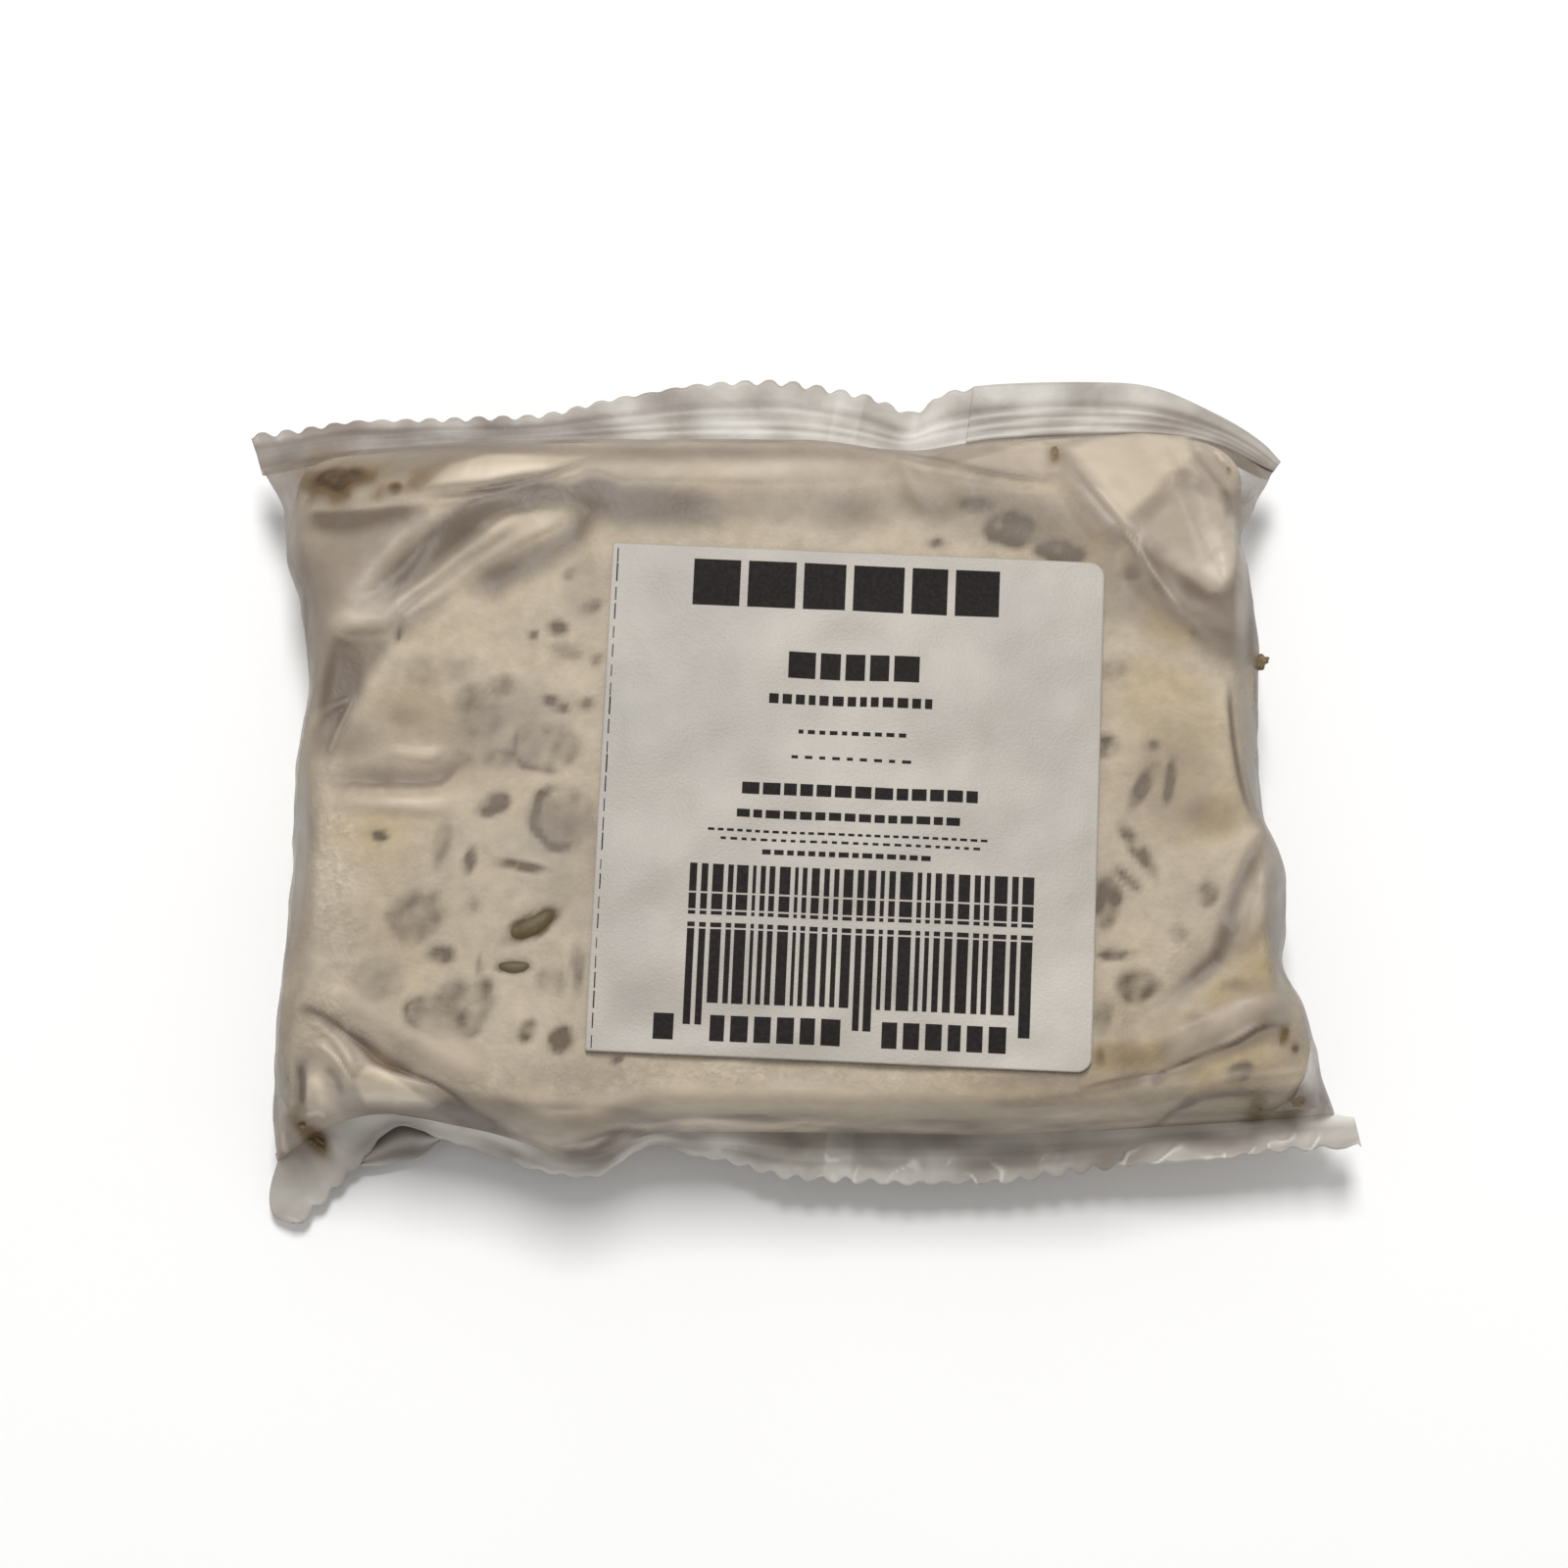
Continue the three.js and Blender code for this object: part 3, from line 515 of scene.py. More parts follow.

# ---------------------------------------------------------------- the cake's beans

# place, length and width, turn in degrees, how dark it shows through the mould, how olive, and how
# much of it shows as a dark rim, painted shade on one side, instead of a filled spot
Bean = namedtuple("Bean", "x y long wide turn dark olive rim", defaults=(0, 0.25))
BEANS = [
    Bean(-30.2, -3.7, 3.4, 2.4, 30, 0.9),
    Bean(-23.3, -5, 7, 6.2, -20, 1, 0.35, 0.9),
    Bean(-26.3, -3.8, 2.3, 1.2, 80, 0.4),
    Bean(-35.3, -7.8, 4.6, 1.8, 80, 0.5),
    Bean(-32.5, -9.4, 2.7, 1.1, 75, 1),
    Bean(-27.3, -10, 5, 1, -10, 1, 0.4),
    Bean(-38, -15.2, 6, 5.2, 20, 0.5),
    Bean(-36.8, -13.8, 2.9, 2, 40, 0.5),
    Bean(-32.1, -14, 1.8, 1.3, 90, 0.4),
    Bean(-26.2, -15.9, 5.8, 2.5, 28, 1, 1),
    Bean(-28, -20.1, 3.3, 1.3, 0, 0.9, 0.9),
    Bean(-35.3, -18.9, 2.6, 1.8, 0, 0.95),
    Bean(-31.4, -20.1, 2.6, 0.7, 90, 0.6),
    Bean(-41.5, -21.4, 5.4, 4.6, 10, 0.3),
    Bean(-34.2, -24.5, 8.8, 5.8, 12, 0.7, 0.2, 0.55),
    Bean(-31.2, -22.6, 3.2, 2, 60, 0.6, 0.4),
    Bean(-32.3, -23.9, 2.2, 3.2, 0, 0.25, 0.35),
    Bean(-26.6, -26.5, 2.4, 1.6, 60, 0.75, 0.45),
    Bean(-23.2, -27.4, 3, 2.5, 60, 0.9, 0.3),
    Bean(-21.6, -20.3, 4.6, 1.3, 90, 0.6),
    Bean(-24.3, -21.4, 3.2, 3, 0, 0.35),
    Bean(-41.6, -6.8, 1.6, 1, -15, 1, 0.45),
    Bean(-17.7, -29.4, 1.1, 0.8, 0, 0.9),
    Bean(-32.6, 7.2, 3.8, 3.2, 50, 0.5),
    Bean(-29.5, 8.5, 3, 2.2, 20, 0.5),
    Bean(-31.3, 5.1, 5.4, 3.6, 20, 0.4),
    Bean(-24.2, 6.7, 2.8, 1.2, -25, 0.9),
    Bean(-21.1, 6.7, 2, 1.4, 0, 0.55),
    Bean(-25.2, 2.2, 7.4, 5.2, -5, 0.6, 0, 0.6),
    Bean(-29.3, 1.2, 3.4, 1.9, 10, 0.6),
    Bean(-33.8, 1, 2.6, 1.6, 0, 0.35),
    Bean(-39.3, 5.4, 3.6, 2, -10, 0.25),
    Bean(-24.1, 14.6, 2.2, 1.7, -20, 1),
    Bean(-26.5, 13.9, 0.9, 0.9, 0, 0.7),
    Bean(-20.6, 16.9, 2, 1.3, 10, 0.7),
    Bean(-22.8, 20.3, 1.6, 1.3, 30, 0.5, 0.3),
    Bean(-23.2, 12.1, 3, 1.8, -20, 0.45),
    Bean(-20, 11.3, 1.3, 1.2, 0, 0.6),
    Bean(-40.2, 14.2, 1.7, 0.6, 80, 0.9),
    Bean(-36.3, 10.1, 8, 3, 0, 0.2),
    Bean(34.3, -8.4, 5.4, 1.5, -57, 0.95, 0.4),
    Bean(33.2, -11.3, 3.2, 1, -42, 0.7, 0.3),
    Bean(31, -13.4, 5.4, 3, 88, 0.8, 0.2),
    Bean(41.2, -12.7, 2.8, 2.3, 80, 0.5, 0.3),
    Bean(38, -16.8, 2.4, 2, 0, 0.35),
    Bean(34, -22, 4.2, 3.2, 10, 0.6, 0.2),
    Bean(31.8, -18.9, 3.6, 1, 2, 0.9),
    Bean(30.6, -25.1, 3.8, 2, 85, 0.4, 0.2),
    Bean(43.7, -16, 1.5, 1.1, 90, 1),
    Bean(44.2, -30.3, 2.8, 1.6, 25, 0.8),
    Bean(39.6, -25.6, 2.6, 2, 0, 0.35),
    Bean(44, -21.9, 3.4, 1.4, 10, 0.35),
    Bean(34.9, -1.8, 4.8, 1.5, 60, 1, 0.2),
    Bean(37.6, -1.3, 3.9, 1.1, 80, 1, 0.2),
    Bean(36.1, 2.4, 1.4, 1.3, 0, 0.8),
    Bean(31.2, 2.4, 2.6, 2.4, 0, 0.85),
    Bean(32.4, 10.3, 3, 2, 10, 0.35),
    Bean(34.2, 20.4, 3, 1.7, 10, 0.8, 0.45),
    Bean(18.4, 27.6, 3.4, 1.6, 0, 0.9, 0.4),
    Bean(22, 25, 5.2, 4, -10, 1, 0.3),
    Bean(27, 22.6, 4.8, 2.6, -10, 1, 0.3),
    Bean(14.5, 23.5, 2, 1.3, 0, 0.6),
]
CAKE_STAINS = [  # yellow to olive fields of the mould
    Field(-42.4, -6.6, 6, 5, 0, 0.6),
    Field(32.8, -28.8, 7, 2.6, 5, 1),
    Field(42.6, -4.6, 7, 4, 40, 0.8),
    Field(37.5, 15.5, 6, 4, -40, 0.9),
    Field(24, -31.2, 20, 4, 3, 0.5),
    Field(-39.2, 5.9, 7, 5, 0, 0.6),
    Field(44.6, -29.4, 14, 5, 15, 0.9),
    Field(45, -21.9, 8, 5, 20, 0.9),
    Field(46.1, -16.5, 4, 8, 0, 0.6),
    Field(27.8, 23.3, 12, 4, -15, 0.7),
    Field(38.3, 0.4, 9, 14, 0, 0.5),
    Field(40.5, -26.5, 12, 5, 30, 0.6),
    Field(-40, -31.9, 9, 4, -15, 0.6),
    Field(36.4, 9.4, 8, 4, 0, 0.5),
]
FUZZ_FIELDS = [  # loose white mould
    Field(-46.8, -12, 5.6, 24, 0, 1),
    Field(-46, -27.5, 8, 5, -30, 0.6),
    Field(-9, -31.2, 52, 3.4, 0, 0.75),
    Field(26, -31, 20, 3, 4, 0.4),
]
Scatter = namedtuple("Scatter", "count long wide dark seed")
WALL_BEANS = Scatter(70, (2.2, 7.5), (1.4, 4.6), (0.3, 0.9), 11)
UNDER_BEANS = Scatter(110, (2, 7.5), (1.3, 5), (0.3, 0.9), 12)
OLIVE_SHARE = 0.18  # how many of the scattered beans are olive

# the lengthwise seam, pressed flat under the pack, and the height and pitch of its crimp
FIN = {"centre": 4.6, "width": 10, "thick": 0.28, "crimp": 0.03, "pitch": 0.9}

CAKE_INSET = {"side": 1.1, "front": 0.9, "rear": 1.5}  # from the rim to the cake
CAKE_CORNER = 7
CAKE_GAP = 0.35  # between the film and the cake, above and below
SAG = [(11, 0.34, 61), (5.5, 0.16, 62)]  # size, height and seed of the swells that film and cake share
UPRIGHT = np.array([0, 0, 1.0])


# ---------------------------------------------------------------- numbers


def place(points):
    """Points of the drawing, in millimetres, as points of the frame, in metres."""
    return (np.asarray(points, float) + DRAWING_ORIGIN) * MM


def smooth(value, low, high):
    """0 below low, 1 above high, and an S-curve between them."""
    share = np.clip((value - low) / (high - low), 0, 1)
    return share * share * (3 - 2 * share)


def spline(points, samples=1500):
    """Catmull-Rom curve through the points as a dense row, with mirrored points past its ends."""
    points = np.asarray(points, float)
    points = np.vstack([2 * points[0] - points[1], points, 2 * points[-1] - points[-2]])
    spans = len(points) - 3
    at = np.linspace(0, spans, samples)
    first = np.minimum(at.astype(int), spans - 1)
    s = (at - first)[:, None]
    a, b, c, d = (points[first + i] for i in range(4))
    return 0.5 * (2 * b + (c - a) * s + (2 * a - 5 * b + 4 * c - d) * s**2 + (3 * b - a - 3 * c + d) * s**3)


def along(row, share):
    """Points at shares 0 to 1 of a dense row's length."""
    steps = np.linalg.norm(np.diff(row, axis=0), axis=1)
    length = np.concatenate([[0], np.cumsum(steps)])
    reach = np.clip(share, 0, 1) * length[-1]
    return np.stack([np.interp(reach, length, row[:, i]) for i in range(row.shape[1])], axis=-1)


def waves(x, y, size, seed, count=26):
    """Smooth random hills of about that size, about -1 to 1: a sum of plane waves in random directions."""
    rng = np.random.default_rng(seed)
    turn = rng.uniform(0, 2 * np.pi, count)
    phase = rng.uniform(0, 2 * np.pi, count)
    pitch = 2 * np.pi / (size * rng.uniform(1.2, 3.2, count))
    total = np.zeros(np.broadcast(x, y).shape)
    for t, p, k in zip(turn, phase, pitch):
        total = total + np.sin(k * (x * np.cos(t) + y * np.sin(t)) + p)
    return total / np.sqrt(count / 2) / 1.6


KNOTS = 256  # a lattice of grains repeats after so many of them


def grains(x, y, size, seed):
    """Random lumps of about that size, from 0 to 1: a random lattice, smoothly joined between its knots."""
    rng = np.random.default_rng(seed)
    knots = rng.random((KNOTS + 1, KNOTS + 1))
    gx, gy = np.asarray(x / size) % KNOTS, np.asarray(y / size) % KNOTS
    i, j = gx.astype(int), gy.astype(int)
    fx, fy = smooth(gx - i, 0, 1), smooth(gy - j, 0, 1)
    low = knots[j, i] * (1 - fx) + knots[j, i + 1] * fx
    high = knots[j + 1, i] * (1 - fx) + knots[j + 1, i + 1] * fx
    return low * (1 - fy) + high * fy


def turned(x, y, angle):
    """The point's parts along and across a direction, in degrees from +X."""
    c, s = math.cos(math.radians(angle)), math.sin(math.radians(angle))
    return x * c + y * s, y * c - x * s


def field(item, x, y, softness, wobble):
    """1 inside an ellipse and 0 outside it: a soft step of the distance over the ellipse's radius."""
    p, q = turned(x - item.x, y - item.y, item.turn)
    radius = np.hypot(2 * p / item.long, 2 * q / item.wide) + wobble
    return 1 - smooth(radius, 1 - softness, 1 + softness)


def fields(items, x, y, softness, wobble=0):
    """Soft ellipses added up, each times its strength."""
    return sum(item.strength * field(item, x, y, softness, wobble) for item in items)


def crowded(steps, crowding=0.6):
    """Steps from -1 to 1, closer together towards both ends: even steps blended with their sine."""
    even = np.linspace(-1, 1, steps + 1)
    return even * (1 - crowding) + np.sin(even * np.pi / 2) * crowding


def round_corners(x, y, half, radius):
    """Pulls a rectangle's corners onto arcs: in a corner's square the greater part becomes the radius."""
    p = np.clip((np.abs(x) - half[0] + radius) / radius, 0, None)
    q = np.clip((np.abs(y) - half[1] + radius) / radius, 0, None)
    shrink = np.where((p > 0) & (q > 0), np.maximum(p, q) / np.maximum(np.hypot(p, q), 1e-9), 1)
    rx = np.where(shrink < 1, half[0] - radius + p * shrink * radius, np.abs(x))
    ry = np.where(shrink < 1, half[1] - radius + q * shrink * radius, np.abs(y))
    return np.sign(x) * rx, np.sign(y) * ry


def normals(grid):
    """Unit normals of a grid of points, by the cross product of its two directions."""
    across = np.gradient(grid, axis=1)
    onward = np.gradient(grid, axis=0)
    normal = np.cross(across, onward)
    return normal / np.maximum(np.linalg.norm(normal, axis=-1, keepdims=True), 1e-9)


# ---------------------------------------------------------------- the film's heights

RIM_ROWS = {side: spline(points) for side, points in RIM.items()}
EDGE_ROWS = {side: spline(points) for side, points in SEAL_EDGE.items()}


def rim_patch(u, v):
    """The Coons patch: both pairs of opposite rim curves blended, less the corners counted twice."""
    s, t = (u + 1) / 2, (v + 1) / 2
    front, rear = along(RIM_ROWS["front"], s), along(RIM_ROWS["rear"], s)
    left, right = along(RIM_ROWS["left"], t), along(RIM_ROWS["right"], t)
    s, t = s[..., None], t[..., None]
    corners = (1 - s) * (1 - t) * np.array(FRONT_LEFT) + s * (1 - t) * np.array(FRONT_RIGHT)
    corners = corners + (1 - s) * t * np.array(REAR_LEFT) + s * t * np.array(REAR_RIGHT)
    return front * (1 - t) + rear * t + left * (1 - s) + right * s - corners


def by_line(start, end, x, y):
    """How far along a straight line each point lies, from 0 to 1, and how far to its left."""
    (x0, y0), (x1, y1) = start, end
    length = math.hypot(x1 - x0, y1 - y0)
    dx, dy = (x1 - x0) / length, (y1 - y0) / length
    return ((x - x0) * dx + (y - y0) * dy) / length, (y - y0) * dx - (x - x0) * dy


def fold_height(fold, x, y):
    """A fold's height: a squared parabola across it and a parabola along it."""
    part, left = by_line(fold.start, fold.end, x, y)
    belly = np.clip(4 * part * (1 - part), 0, None)
    off = left - fold.bend * belly
    flank = np.clip(1 - (off / np.where(off > 0, fold.left, fold.right)) ** 2, 0, None)
    return fold.height * np.minimum(1, 1.5 * belly) * flank**2


def crease_shape(crease, x, y):
    """From 0 beside a crease to 1 on it: the nearest sample of its path gives the part along and across."""
    path = along(spline(crease.path, samples=400), np.linspace(0, 1, CREASE_SAMPLES))
    reach = max(crease.left, crease.right)
    low, high = path.min(0) - reach, path.max(0) + reach
    near = (x > low[0]) & (x < high[0]) & (y > low[1]) & (y < high[1])
    shape = np.zeros(np.shape(x))
    px, py = x[near], y[near]
    gap = (px[:, None] - path[:, 0]) ** 2 + (py[:, None] - path[:, 1]) ** 2
    nearest = gap.argmin(axis=1)
    ahead = np.gradient(path, axis=0)
    ahead = ahead / np.linalg.norm(ahead, axis=1, keepdims=True)
    dx, dy = px - path[nearest, 0], py - path[nearest, 1]
    off = dy * ahead[nearest, 0] - dx * ahead[nearest, 1]
    part = nearest / (CREASE_SAMPLES - 1)
    flank = np.clip(1 - (off / np.where(off > 0, crease.left, crease.right)) ** 2, 0, None)
    shape[near] = np.minimum(1, 6 * part * (1 - part)) * flank**2
    return shape


def facet_share(facet, x, y):
    """1 inside a facet and 0 outside it: a soft step of the least distance inside its edges."""
    ends = facet.corners[1:] + facet.corners[:1]
    inside = [by_line(start, end, x, y)[1] for start, end in zip(facet.corners, ends)]
    return smooth(np.min(inside, axis=0), -facet.soft, facet.soft)


TURN_SPAN = (-0.5, 0.7)  # the film turns between these distances past the line


def wall_share(side, x, y):
    """0 on the cake's top and 1 past the line where the film turns down its left or right wall."""
    line_x, line_y = np.array(TURNS[side]).T
    past = (x - np.interp(y, line_y, line_x)) * (1 if side == "right" else -1)
    return smooth(past, *TURN_SPAN)


def corner_drop(edge, x, y):
    """How far the film falls past a corner's line: the slope times a softened ramp."""
    past = by_line(edge.start, edge.end, x, y)[1]
    return edge.slope * (past + np.hypot(past, SLOPE_SOFTNESS)) / 2


def label_place(x, y):
    """Plan points in the label's own turned coordinates, about its middle."""
    turn = bpy.context.scene.tempeh_label.turn
    return turned(x - LABEL_CENTRE[0], y - LABEL_CENTRE[1], math.degrees(turn))


def free_of_label(x, y):
    """0 under the label and 1 a few millimetres outside its straight edges."""
    look = bpy.context.scene.tempeh_label
    p, q = label_place(x, y)
    outside = np.maximum(np.abs(p) - look.width / MM / 2, np.abs(q) - look.height / MM / 2)
    return smooth(outside, *LABEL_CALM)


def crown(x, y):
    """Height of the film over the cake without folds: a low crown that falls off at the corners."""
    drop = CROWN_DROP[0] * (x / CAKE_HALF[0]) ** 4 + CROWN_DROP[1] * (y / CAKE_HALF[1]) ** 4
    return CAKE_TOP - drop - sum(corner_drop(edge, x, y) for edge in CORNER_SLOPES)


def ridges_and_grooves(x, y):
    """The folds and creases that stand over the film, and those that sink into it."""
    up = np.zeros(np.shape(x))
    down = np.zeros(np.shape(x))
    for fold in FOLDS:
        height = fold_height(fold, x, y)
        up, down = up + np.maximum(height, 0), down + np.minimum(height, 0)
    for crease in CREASES:
        height = crease.height * crease_shape(crease, x, y)
        up, down = up + np.maximum(height, 0), down + np.minimum(height, 0)
    free = free_of_label(x, y)
    return up * free, down * free


def sag(x, y):
    """Soft swells that the cake and its film share, calm under the label."""
    return free_of_label(x, y) * sum(height * waves(x, y, size, seed) for size, height, seed in SAG)


def rise(u, v):
    """How far the top sheet has risen from the rim, from 0 to 1."""
    return roll(u, RIM_HALF[0], SIDE_ROLL) * roll(v, RIM_HALF[1], np.where(v < 0, FRONT_ROLL, REAR_ROLL))


def settle(u, v):
    """How far the bottom sheet has fallen from the rim to the floor, from 0 to 1."""
    return roll(u, RIM_HALF[0], FLOOR_ROLL) * roll(v, RIM_HALF[1], FLOOR_ROLL)


def roll(part, half, width):
    """A quarter round from 0 at the rim to 1 once the film has turned over the edge."""
    inward = np.clip((1 - np.abs(part)) * half / width, 0, 1)
    return np.sqrt(1 - (1 - inward) ** ROLL_POWER)


# ---------------------------------------------------------------- bodies of points and faces

Body = namedtuple("Body", "points faces")


def grid_faces(index):
    """Quads of a grid of vertex numbers, facing up where rows run to +Y and columns to +X."""
    corners = [index[:-1, :-1], index[:-1, 1:], index[1:, 1:], index[1:, :-1]]
    return np.stack(corners, -1).reshape(-1, 4).tolist()


def border(index):
    """A grid's outer vertex numbers in turn, anticlockwise from above."""
    return np.concatenate([index[0, :-1], index[:-1, -1], index[-1, :0:-1], index[:0:-1, 0]])


def band(lower, upper):
    """Quads between two closed loops of vertex numbers that run anticlockwise, facing outwards."""
    ahead = np.roll(np.arange(len(lower)), -1)
    return np.stack([lower, lower[ahead], upper[ahead], upper], axis=-1).tolist()


def block(upper, lower, *walls):
    """A closed body: an upper and a lower sheet of like grids, joined round their borders by loops."""
    count = upper.shape[0] * upper.shape[1]
    top = np.arange(count).reshape(upper.shape[:2])
    bottom = top + count
    loops = [border(top)]
    points = [upper.reshape(-1, 3), lower.reshape(-1, 3)]
    for k, wall in enumerate(walls):
        loops.append(2 * count + k * len(wall) + np.arange(len(wall)))
        points.append(wall)
    loops.append(border(bottom))
    faces = grid_faces(top) + grid_faces(bottom[:, ::-1])
    for above, below in zip(loops, loops[1:]):
        faces += band(below, above)
    return Body(np.vstack(points), faces)


def pouch(upper, rings, tip):
    """A closed body: an upper sheet, rings of points that shrink from its border, and an end point."""
    count = upper.shape[0] * upper.shape[1]
    top = np.arange(count).reshape(upper.shape[:2])
    loops = [border(top)] + [count + k * len(ring) + np.arange(len(ring)) for k, ring in enumerate(rings)]
    last = loops[-1]
    end = last[-1] + 1
    faces = grid_faces(top)
    for above, below in zip(loops, loops[1:]):
        faces += band(below, above)
    faces += np.stack([last, np.full(len(last), end), np.roll(last, -1)], axis=-1).tolist()
    return Body(np.vstack([upper.reshape(-1, 3), *rings, tip]), faces)


def joined(bodies):
    """Several bodies as one."""
    points, faces, start = [], [], 0
    for body in bodies:
        points.append(body.points)
        faces += [[start + i for i in face] for face in body.faces]
        start += len(body.points)
    return Body(np.vstack(points), faces)


def piece(name, body, material, slot, replaces=(), flat=False, **values):
    """Makes a body into a piece of the pack, smooth or flat, with an attribute for each named row."""
    mesh = bpy.data.meshes.new(name)
    mesh.from_pydata(place(body.points), [], body.faces)
    if not flat:
        mesh.shade_smooth()
    for key, row in values.items():
        layer = mesh.attributes.new(key, "FLOAT", "POINT")
        layer.data.foreach_set("value", np.asarray(row, np.float32).ravel())
    mesh.materials.append(material)
    thing = bpy.data.objects.new(name, mesh)
    bpy.context.scene.collection.objects.link(thing)
    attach(thing, "root")
    if replaces:
        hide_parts(*replaces)
    return thing


# ---------------------------------------------------------------- finishes


class Finish:
    """A material whose nodes feed one Principled shader, with a short call for each kind of node."""

    def __init__(self, name, **constants):
        self.material = bpy.data.materials.new(name)
        self.material.use_nodes = True
        self.tree = self.material.node_tree
        self.shader = self.tree.nodes["Principled BSDF"]
        self.object_place = self.tree.nodes.new("ShaderNodeTexCoord").outputs["Object"]
        for socket, value in constants.items():
            self.shader.inputs[socket.replace("_", " ")].default_value = value

    def put(self, socket, value):
        """Links an output to a socket, or sets a number or a colour on it."""
        if isinstance(value, bpy.types.NodeSocket):
            self.tree.links.new(value, socket)
        elif hasattr(value, "__len__"):
            socket.default_value = (*value, 1)
        else:
            socket.default_value = value

    def feed(self, socket, value):
        self.put(self.shader.inputs[socket], value)

    def noise(self, size, detail=3, stretch=(1, 1, 1), distortion=0):
        """Noise of about that size in millimetres, longer along an axis whose stretch is greater."""
        mapping = self.tree.nodes.new("ShaderNodeMapping")
        mapping.inputs["Scale"].default_value = [1 / s for s in stretch]
        self.put(mapping.inputs["Vector"], self.object_place)
        node = self.tree.nodes.new("ShaderNodeTexNoise")
        self.put(node.inputs["Vector"], mapping.outputs["Vector"])
        node.inputs["Scale"].default_value = 1 / (size * MM)
        node.inputs["Detail"].default_value = detail
        node.inputs["Distortion"].default_value = distortion
        return node.outputs["Fac"]

    def value(self, name):
        """A row of values that the mesh carries."""
        node = self.tree.nodes.new("ShaderNodeAttribute")
        node.attribute_name = name
        return node.outputs["Fac"]

    def math(self, operation, a, b=0.0, clamp=False):
        node = self.tree.nodes.new("ShaderNodeMath")
        node.operation = operation
        node.use_clamp = clamp
        self.put(node.inputs[0], a)
        self.put(node.inputs[1], b)
        return node.outputs["Value"]

    def span(self, value, low, high, start=0.0, end=1.0):
        """Carries a value's span from low to high over to start to end, and holds it there."""
        node = self.tree.nodes.new("ShaderNodeMapRange")
        for socket, number in zip(node.inputs, (value, low, high, start, end)):
            self.put(socket, number)
        return node.outputs["Result"]

    def mix(self, share, a, b, blend="MIX"):
        """Colour a turned into colour b by a share."""
        node = self.tree.nodes.new("ShaderNodeMix")
        node.data_type = "RGBA"
        node.blend_type = blend
        self.put(node.inputs["Factor"], share)
        self.put(node.inputs[6], a)
        self.put(node.inputs[7], b)
        return node.outputs[2]

    def bump(self, height, depth, strength=1.0):
        """Feeds a relief that deep, in millimetres, to the shader's normal."""
        node = self.tree.nodes.new("ShaderNodeBump")
        node.inputs["Distance"].default_value = depth * MM
        node.inputs["Strength"].default_value = strength
        self.put(node.inputs["Height"], height)
        self.feed("Normal", node.outputs["Normal"])


# ---------------------------------------------------------------- settings


def colour_setting(name, description, default):
    """A colour that the user may change, as linear red, green and blue."""
    return bpy.props.FloatVectorProperty(
        name=name, description=description, default=default, size=3, min=0, max=1, subtype="COLOR"
    )


def length_setting(name, description, default):
    """A length that the user may change; its default is given in millimetres."""
    return bpy.props.FloatProperty(
        name=name, description=description, default=default * MM, min=0, unit="LENGTH", precision=5
    )


def share_setting(name, description, default):
    """A share from 0 to 1 that the user may change."""
    return bpy.props.FloatProperty(
        name=name, description=description, default=default, min=0, max=1, subtype="FACTOR"
    )


class FilmSettings(bpy.types.PropertyGroup):
    """Sizes and looks of the bag and its seals."""

    colour: colour_setting("Film", "Milky film", (0.355, 0.298, 0.25))
    # the next two colours are painted shade in grooves and hollows, and painted light on crests
    dark: colour_setting("Dark film", "Film in grooves and over hollow places", (0.15, 0.112, 0.083))
    bright: colour_setting("Bright film", "Film drawn tight over a crest", (0.72, 0.61, 0.465))
    # the pale colour is painted light, as through film with light behind it
    painted_backlight: colour_setting("Pale film", "Film with light behind it", (0.37, 0.352, 0.318))
    seal: colour_setting("Seal", "Crimped film of the seals", (0.315, 0.27, 0.235))
    # the next two colours are painted shade in the crimp's hollows and painted light on its crests
    seal_painted_shade: colour_setting("Dark seal", "Hollows of the crimp", (0.13, 0.107, 0.09))
    seal_painted_light: colour_setting("Bright seal", "Crests of the crimp", (0.8, 0.78, 0.72))
    stain: colour_setting("Stain", "Brown juice that wets the film", (0.19, 0.125, 0.065))
    stain_core: colour_setting("Stain core", "Middle of a brown stain", (0.05, 0.027, 0.01))
    contact_haze: share_setting("Contact haze", "Cover of the film where it lies on the cake", 0.17)
    loose_haze: share_setting("Loose haze", "Cover of the film where it stands off the cake", 0.62)
    pale_haze: share_setting("Pale haze", "Cover of the film with light behind it", 0.86)
    seal_haze: share_setting("Seal haze", "Cover of the crimped seals", 0.93)
    seal_thick: length_setting("Seal thickness", "Thickness of a crimped seal", 0.24)
    rib_height: length_setting("Rib height", "Height of the crimp's ribs", 0.28)
    tooth_pitch: length_setting("Tooth pitch", "Length of one scallop of a seal's edge", 2.55)
    tooth_depth: length_setting("Tooth depth", "Depth of a scallop of a seal's edge", 0.65)


class CakeSettings(bpy.types.PropertyGroup):
    """Looks of the tempeh cake and its soybeans."""

    cream: colour_setting("Mould", "Cream white mould", (0.58, 0.495, 0.375))
    fuzz: colour_setting("Loose mould", "Loose white mould", (0.80, 0.70, 0.55))
    yellow: colour_setting("Yellow mould", "Yellowed mould", (0.50, 0.385, 0.205))
    grey: colour_setting("Covered bean", "Bean that shows grey through the mould", (0.135, 0.103, 0.072))
    olive: colour_setting("Bare bean", "Bare olive bean", (0.09, 0.06, 0.015))
    crumb: colour_setting("Crumb", "Brown crumb", (0.11, 0.073, 0.03))
    crumb_pale: colour_setting("Pale crumb", "Yellow-brown patch of a crumb", (0.24, 0.17, 0.075))
    relief: length_setting("Relief", "Depth of the dents over the beans", 0.25)


